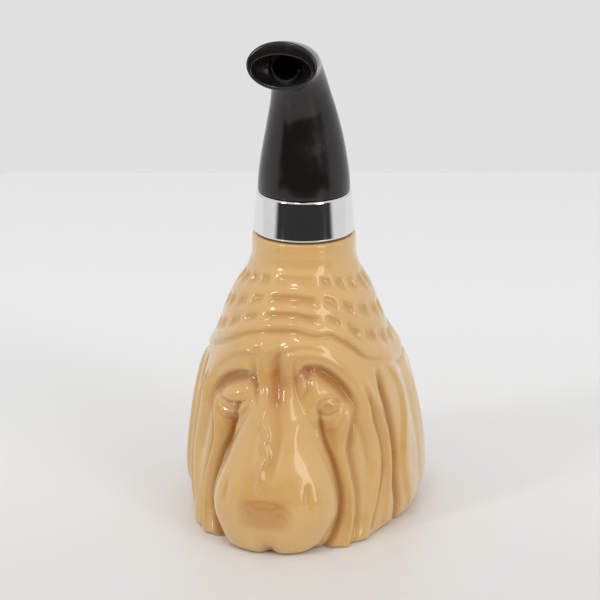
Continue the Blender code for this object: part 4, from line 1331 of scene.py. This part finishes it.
def marks_group() -> bpy.types.NodeTree:
    """Handling marks: a patchy film, and hair-fine scratches within it."""
    wiring, given, out = effect_group("handling marks", {"Scale": 60.0, "Amount": 0.3}, ("Film", "Scratches"))
    place = wiring.add("ShaderNodeTexCoord").outputs["Object"]
    film = wiring.noise(place, Detail=5.0, Roughness=0.62)
    wiring.join(given.outputs["Scale"], film.inputs["Scale"])
    patch = wiring.span(film.outputs["Fac"], interpolation_type="SMOOTHSTEP", From_Min=0.45, From_Max=0.75)
    wiring.join(wiring.math("MULTIPLY", patch, given.outputs["Amount"]), out.inputs["Film"])
    stretch = wiring.add("ShaderNodeMapping", Scale=(1.0, 1.0, 0.12), Rotation=(0.5, 0.3, 0.2))
    wiring.join(place, stretch.inputs["Vector"])
    hair = wiring.noise(stretch.outputs["Vector"], Scale=1400.0, Detail=1.0)
    line = wiring.span(hair.outputs["Fac"], From_Min=0.66, From_Max=0.72)
    both = wiring.math("MULTIPLY", line, patch)
    wiring.join(wiring.math("MULTIPLY", both, given.outputs["Amount"]), out.inputs["Scratches"])
    return wiring.tree


@dataclass(frozen=True)
class Shared:
    """The node groups that the finishes share."""

    waviness: bpy.types.NodeTree
    marks: bpy.types.NodeTree


def new_material(name: str) -> tuple[bpy.types.Material, Wiring, bpy.types.Node]:
    """A material with its wiring and its Principled shader."""
    material = bpy.data.materials.new(name)
    material.use_nodes = True
    return material, Wiring(material.node_tree), material.node_tree.nodes["Principled BSDF"]


def use_group(wiring: Wiring, group: bpy.types.NodeTree, **values: float) -> bpy.types.Node:
    """Places a shared group in a material with its own values."""
    node = wiring.tree.nodes.new("ShaderNodeGroup")
    node.node_tree = group
    for name, value in values.items():
        node.inputs[name.replace("_", " ")].default_value = value
    return node


def bump(wiring: Wiring, height: bpy.types.NodeSocket, relief: Pair, shader: bpy.types.Node) -> None:
    """Feeds a height into the shader's normal.

    Args:
        wiring: the material's wiring.
        height: the height, from 0 to about 1.
        relief: metres that a height of 1 stands for, and the strength of the bump.
        shader: the Principled shader.
    """
    distance, strength = relief
    node = wiring.add("ShaderNodeBump", Distance=distance, Strength=strength)
    wiring.join(height, node.inputs["Height"])
    wiring.join(node.outputs["Normal"], shader.inputs["Normal"])


def tone(wiring: Wiring, factor: bpy.types.NodeSocket, low: Triple, high: Triple,
         start: float = 0.0, end: float = 1.0) -> bpy.types.NodeSocket:
    """A ramp from the low colour at start to the high one at end."""
    ramp = wiring.add("ShaderNodeValToRGB")
    ramp.color_ramp.elements[0].position, ramp.color_ramp.elements[1].position = start, end
    ramp.color_ramp.elements[0].color = (*low, 1.0)
    ramp.color_ramp.elements[1].color = (*high, 1.0)
    wiring.join(factor, ramp.inputs["Fac"])
    return ramp.outputs["Color"]


@dataclass(frozen=True)
class TanLacquer:
    """Glossy tan lacquer fired on glass, with painted shade in the recesses and a painted sheen where the
    surface is seen at a slant.
    """

    base: Triple = (0.66, 0.385, 0.125)
    pale: Triple = (0.69, 0.415, 0.15)
    # Pale colour of a painted sheen, mixed in where the surface is seen at a slant
    painted_sheen: Triple = (0.76, 0.55, 0.29)
    # Colour of the painted shade in the recesses and on the shaded pads, and how much of it is mixed in
    shade_tint: Triple = (0.43, 0.155, 0.025)
    shade_share: float = 0.95
    sheen_share: float = 0.72
    roughness: float = 0.22
    film_rise: float = 0.25
    specular: float = 0.3
    coat: float = 0.8
    coat_roughness: float = 0.035
    relief: Pair = (0.00006, 0.5)

    def material(self, shared: Shared) -> bpy.types.Material:
        """Builds the lacquer."""
        material, wiring, shader = new_material("tan lacquer")
        swell = use_group(wiring, shared.waviness, Scale=330.0, Fine_share=0.25)
        marks = use_group(wiring, shared.marks, Scale=55.0, Amount=0.35)
        patch = wiring.noise(wiring.add("ShaderNodeTexCoord").outputs["Object"], Scale=70.0, Detail=3.0)
        skin = tone(wiring, patch.outputs["Fac"], self.base, self.pale, start=0.35, end=0.68)
        # Painted shade: the darker colour mixed in where the bottle marks a recess or a shaded pad
        painted_shade = wiring.add("ShaderNodeAttribute", attribute_name="painted_shade")
        shade_mix = wiring.math("MULTIPLY", painted_shade.outputs["Fac"], self.shade_share)
        # Painted sheen: paler colour towards the outlines, where the surface is seen at a slant
        glance = wiring.add("ShaderNodeLayerWeight", Blend=0.42)
        sheen = wiring.math("MULTIPLY", glance.outputs["Facing"], self.sheen_share)
        colour = wiring.blend(sheen, wiring.blend(shade_mix, skin, self.shade_tint), self.painted_sheen)
        wiring.join(colour, shader.inputs["Base Color"])
        rough = wiring.rising(marks.outputs["Film"], self.film_rise, self.roughness)
        wiring.join(rough, shader.inputs["Roughness"])
        shader.inputs["Specular IOR Level"].default_value = self.specular
        shader.inputs["Coat Weight"].default_value = self.coat
        shader.inputs["Coat Roughness"].default_value = self.coat_roughness
        bump(wiring, swell.outputs["Height"], self.relief, shader)
        return material


@dataclass(frozen=True)
class ClearGlass:
    """The bare glass of the screw neck and of the hollow."""

    tint: Triple = (0.93, 0.96, 0.93)
    roughness: float = 0.03
    index: float = 1.5
    relief: Pair = (0.00008, 0.5)

    def material(self, shared: Shared) -> bpy.types.Material:
        """Builds the glass."""
        material, wiring, shader = new_material("clear glass")
        swell = use_group(wiring, shared.waviness, Scale=240.0, Fine_share=0.2)
        shader.inputs["Base Color"].default_value = (*self.tint, 1.0)
        shader.inputs["Transmission Weight"].default_value = 1.0
        shader.inputs["Roughness"].default_value = self.roughness
        shader.inputs["IOR"].default_value = self.index
        bump(wiring, swell.outputs["Height"], self.relief, shader)
        return material


@dataclass(frozen=True)
class HandledFinish:
    """A plain hard surface under a thin film of handling marks.

    Marks are (scale, amount) and swell is (scale, fine share) for the shared groups. The rises are what
    the film and the scratches add to the roughness, and the relief is (metres, strength) of the bump.
    """

    name: str
    base: Triple
    dulled: Triple
    roughness: float
    marks: Pair
    swell: Pair
    film_rise: float
    scratch_rise: float
    relief: Pair
    metallic: float = 0.0

    def material(self, shared: Shared) -> bpy.types.Material:
        """Builds the finish."""
        material, wiring, shader = new_material(self.name)
        marks = use_group(wiring, shared.marks, Scale=self.marks[0], Amount=self.marks[1])
        swell = use_group(wiring, shared.waviness, Scale=self.swell[0], Fine_share=self.swell[1])
        wiring.join(tone(wiring, marks.outputs["Film"], self.base, self.dulled), shader.inputs["Base Color"])
        rough = wiring.rising(marks.outputs["Film"], self.film_rise, self.roughness)
        scratches = wiring.math("MULTIPLY", marks.outputs["Scratches"], self.scratch_rise)
        wiring.join(wiring.math("ADD", rough, scratches), shader.inputs["Roughness"])
        shader.inputs["Metallic"].default_value = self.metallic
        bump(wiring, swell.outputs["Height"], self.relief, shader)
        return material


@dataclass(frozen=True)
class BlackResin(HandledFinish):
    """The stem's moulded black resin, polished, with the first signs of handling."""

    name: str = "black resin"
    base: Triple = (0.010, 0.0085, 0.008)
    dulled: Triple = (0.020, 0.017, 0.016)
    roughness: float = 0.13
    marks: Pair = (75.0, 0.6)
    swell: Pair = (120.0, 0.12)
    film_rise: float = 0.3
    scratch_rise: float = 0.25
    relief: Pair = (0.00006, 0.4)


@dataclass(frozen=True)
class MirrorMetal(HandledFinish):
    """Bright mirror-plated metal."""

    name: str = "mirror metal"
    base: Triple = (0.87, 0.87, 0.88)
    dulled: Triple = (0.74, 0.74, 0.76)
    roughness: float = 0.055
    marks: Pair = (90.0, 0.5)
    swell: Pair = (90.0, 0.1)
    film_rise: float = 0.12
    scratch_rise: float = 0.2
    relief: Pair = (0.00003, 0.35)
    metallic: float = 1.0


@dataclass(frozen=True)
class WhitePlastic(HandledFinish):
    """The inner cap's plain moulded plastic, hidden in the stem and so not scratched."""

    name: str = "white plastic"
    base: Triple = (0.80, 0.79, 0.74)
    dulled: Triple = (0.74, 0.72, 0.66)
    roughness: float = 0.38
    marks: Pair = (120.0, 0.7)
    swell: Pair = (900.0, 0.6)
    film_rise: float = 0.2
    scratch_rise: float = 0.0
    relief: Pair = (0.00003, 0.3)


@dataclass(frozen=True)
class LinerBoard:
    """Waxed pulp board with its short fibres."""

    base: Triple = (0.74, 0.70, 0.60)
    fibre: Triple = (0.60, 0.55, 0.45)
    roughness: float = 0.62
    relief: Pair = (0.00005, 0.5)

    def material(self, shared: Shared) -> bpy.types.Material:
        """Builds the board."""
        material, wiring, shader = new_material("liner board")
        place = wiring.add("ShaderNodeTexCoord")
        stretch = wiring.add("ShaderNodeMapping", Scale=(1.0, 3.0, 1.0), Rotation=(0.0, 0.0, 0.6))
        wiring.join(place.outputs["Object"], stretch.inputs["Vector"])
        fibre = wiring.noise(stretch.outputs["Vector"], Scale=1500.0, Detail=4.0, Distortion=0.8)
        colour = tone(wiring, fibre.outputs["Fac"], self.fibre, self.base, start=0.38, end=0.55)
        wiring.join(colour, shader.inputs["Base Color"])
        swell = use_group(wiring, shared.waviness, Scale=1200.0, Fine_share=0.8)
        shader.inputs["Roughness"].default_value = self.roughness
        bump(wiring, swell.outputs["Height"], self.relief, shader)
        return material


@dataclass(frozen=True)
class Lamp:
    """A soft square lamp that looks at the bottle. Angles in degrees, lengths in metres."""

    name: str
    azimuth: float
    elevation: float
    distance: float
    width: float
    depth: float
    power: float

    def light(self, target: Vector) -> None:
        """Puts the lamp up, aimed at the target."""
        data = bpy.data.lights.new(self.name, "AREA")
        data.shape = "RECTANGLE"
        data.size, data.size_y = self.width, self.depth
        data.energy = self.power
        lamp = bpy.data.objects.new(self.name, data)
        turn, lift = math.radians(self.azimuth), math.radians(self.elevation)
        away = Vector((math.sin(turn) * math.cos(lift), -math.cos(turn) * math.cos(lift), math.sin(lift)))
        lamp.location = target + away * self.distance
        lamp.rotation_euler = away.to_track_quat("Z", "Y").to_euler()
        bpy.context.scene.collection.objects.link(lamp)


@dataclass
class Studio:
    """The pale table, the pale room with its dark front, the lamps and the camera.

    The table's near and far edges lie square to the camera. Its colours are set at shares of the way
    from the far edge, where it meets the wall, to the near one, and paint shade darker towards the near
    edge. Lengths are in metres.
    """

    floor_near: float = 0.42
    floor_far: float = -0.37
    floor_half_width: float = 0.46
    floor_drop: float = 0.00005
    floor_roughness: float = 0.27
    floor_grain: float = 0.1
    # Painted shade: the table's colour falls from pale at the far edge to darker towards the camera
    floor_shade_colours: tuple[tuple[float, Triple], ...] = (
        (0.0, (0.94, 0.94, 0.94)), (0.22, (0.94, 0.94, 0.94)), (0.46, (0.87, 0.865, 0.86)),
        (0.58, (0.76, 0.745, 0.725)),
    )
    wall_colour: Triple = (0.75, 0.75, 0.75)
    room_level: float = 0.72
    dark_level: float = 0.03
    dark_top: Pair = (0.40, 0.30)
    dark_front: Pair = (0.28, 0.50)
    camera_place: Triple = (0.1849, -0.7347, 0.3234)
    camera_pitch: float = 71.28
    camera_azimuth: float = 14.09
    lens: float = 160.5
    sensor: float = 36.0
    near_clip: float = 0.02
    target: Triple = (0.0, 0.0, 0.07)
    lamps: tuple[Lamp, ...] = (
        Lamp("overhead", -15.0, 70.0, 0.95, 0.16, 0.16, 0.7),
        Lamp("right", 55.0, 27.0, 1.1, 0.30, 0.85, 2.6),
        Lamp("left", -40.0, 32.0, 1.2, 0.16, 0.26, 2.1),
    )

    def floor(self) -> bpy.types.Object:
        """Lays the table top."""
        shape = bmesh.new()
        bmesh.ops.create_grid(shape, x_segments=2, y_segments=2, size=1.0)
        depth = (self.floor_near - self.floor_far) / 2
        bmesh.ops.scale(shape, vec=(self.floor_half_width, depth, 1.0), verts=shape.verts)
        bmesh.ops.translate(shape, vec=(0.0, depth - self.floor_near, -self.floor_drop), verts=shape.verts)
        square = Matrix.Rotation(math.radians(self.camera_azimuth), 3, "Z")
        bmesh.ops.rotate(shape, cent=(0, 0, 0), matrix=square, verts=shape.verts)
        table = placed("table_top", shape)
        material, wiring, shader = new_material("pale table")
        place = wiring.add("ShaderNodeTexCoord")
        near = self.towards_camera(wiring, place.outputs["Object"])
        run = wiring.span(near, From_Min=self.floor_far, From_Max=self.floor_near)
        (start, first), (end, last), *more = self.floor_shade_colours
        colour = tone(wiring, run, first, last, start, end)
        for position, stop in more:
            colour.node.color_ramp.elements.new(position).color = (*stop, 1.0)
        wiring.join(colour, shader.inputs["Base Color"])
        grain = wiring.noise(place.outputs["Object"], Scale=700.0, Detail=3.0)
        rough = wiring.rising(grain.outputs["Fac"], self.floor_grain, self.floor_roughness)
        wiring.join(rough, shader.inputs["Roughness"])
        table.data.materials.append(material)
        return table

    def towards_camera(self, wiring: Wiring, vector: bpy.types.NodeSocket) -> bpy.types.NodeSocket:
        """How far a vector reaches towards the camera, level with the table."""
        axes = wiring.add("ShaderNodeSeparateXYZ")
        wiring.join(vector, axes.inputs["Vector"])
        turn = math.radians(self.camera_azimuth)
        return wiring.math("ADD", wiring.math("MULTIPLY", axes.outputs["X"], math.sin(turn)),
                           wiring.math("MULTIPLY", axes.outputs["Y"], -math.cos(turn)))

    def room(self) -> None:
        """Surrounds the set with a pale room that is dark only low in front, where the camera stands."""
        world = bpy.data.worlds.new("studio")
        bpy.context.scene.world = world
        world.use_nodes = True
        wiring = Wiring(world.node_tree)
        ground = world.node_tree.nodes["Background"]
        direction = wiring.add("ShaderNodeTexCoord")
        axes = wiring.add("ShaderNodeSeparateXYZ")
        wiring.join(direction.outputs["Generated"], axes.inputs["Vector"])
        front = self.towards_camera(wiring, direction.outputs["Generated"])
        ahead = wiring.span(front, interpolation_type="SMOOTHSTEP", From_Min=self.dark_front[0],
                            From_Max=self.dark_front[1])
        low = wiring.span(axes.outputs["Z"], interpolation_type="SMOOTHSTEP", From_Min=self.dark_top[0],
                          From_Max=self.dark_top[1])
        ray = wiring.add("ShaderNodeLightPath")
        dark = wiring.math("MULTIPLY", wiring.math("MULTIPLY", ahead, low), ray.outputs["Is Glossy Ray"])
        level = wiring.span(dark, To_Min=self.room_level, To_Max=self.dark_level)
        room = wiring.add("ShaderNodeCombineColor")
        for socket in room.inputs[:3]:
            wiring.join(level, socket)
        seen = wiring.math("MAXIMUM", ray.outputs["Is Camera Ray"], ray.outputs["Is Transmission Ray"])
        wiring.join(wiring.blend(seen, room.outputs["Color"], self.wall_colour), ground.inputs["Color"])

    def camera(self) -> None:
        """Sets the camera up where the photograph was taken from."""
        data = bpy.data.cameras.new("camera")
        data.lens, data.sensor_width = self.lens, self.sensor
        data.clip_start = self.near_clip
        camera = bpy.data.objects.new("camera", data)
        camera.matrix_world = (Matrix.Translation(self.camera_place)
                               @ Matrix.Rotation(math.radians(self.camera_azimuth), 4, "Z")
                               @ Matrix.Rotation(math.radians(self.camera_pitch), 4, "X"))
        bpy.context.scene.collection.objects.link(camera)
        bpy.context.scene.camera = camera

    def build(self) -> None:
        """Sets up the whole studio."""
        bpy.context.scene.view_settings.view_transform = "Standard"
        self.floor()
        self.room()
        for lamp in self.lamps:
            lamp.light(Vector(self.target))
        self.camera()


def main() -> None:
    """Builds and dresses every piece in order, then the studio round them."""
    shared = Shared(waviness_group(), marks_group())
    bottle, wad, cup, collar, stem = HoundBottle(), SealingWad(), InnerCap(), BrightCollar(), PipeStem()
    lacquer, glass = TanLacquer().material(shared), ClearGlass().material(shared)
    piece = bottle.build()
    bottle.dress(piece, lacquer, glass)
    log.info("%s: %d faces", piece.name, len(piece.data.polygons))
    finishes = ((wad, LinerBoard()), (cup, WhitePlastic()), (collar, MirrorMetal()), (stem, BlackResin()))
    for maker, finish in finishes:
        piece = maker.build()
        maker.dress(piece, finish.material(shared))
        log.info("%s: %d faces", piece.name, len(piece.data.polygons))
    Studio().build()


if __name__ == "__main__":
    logging.basicConfig(level=logging.INFO, format="%(name)s: %(message)s")
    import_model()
    main()
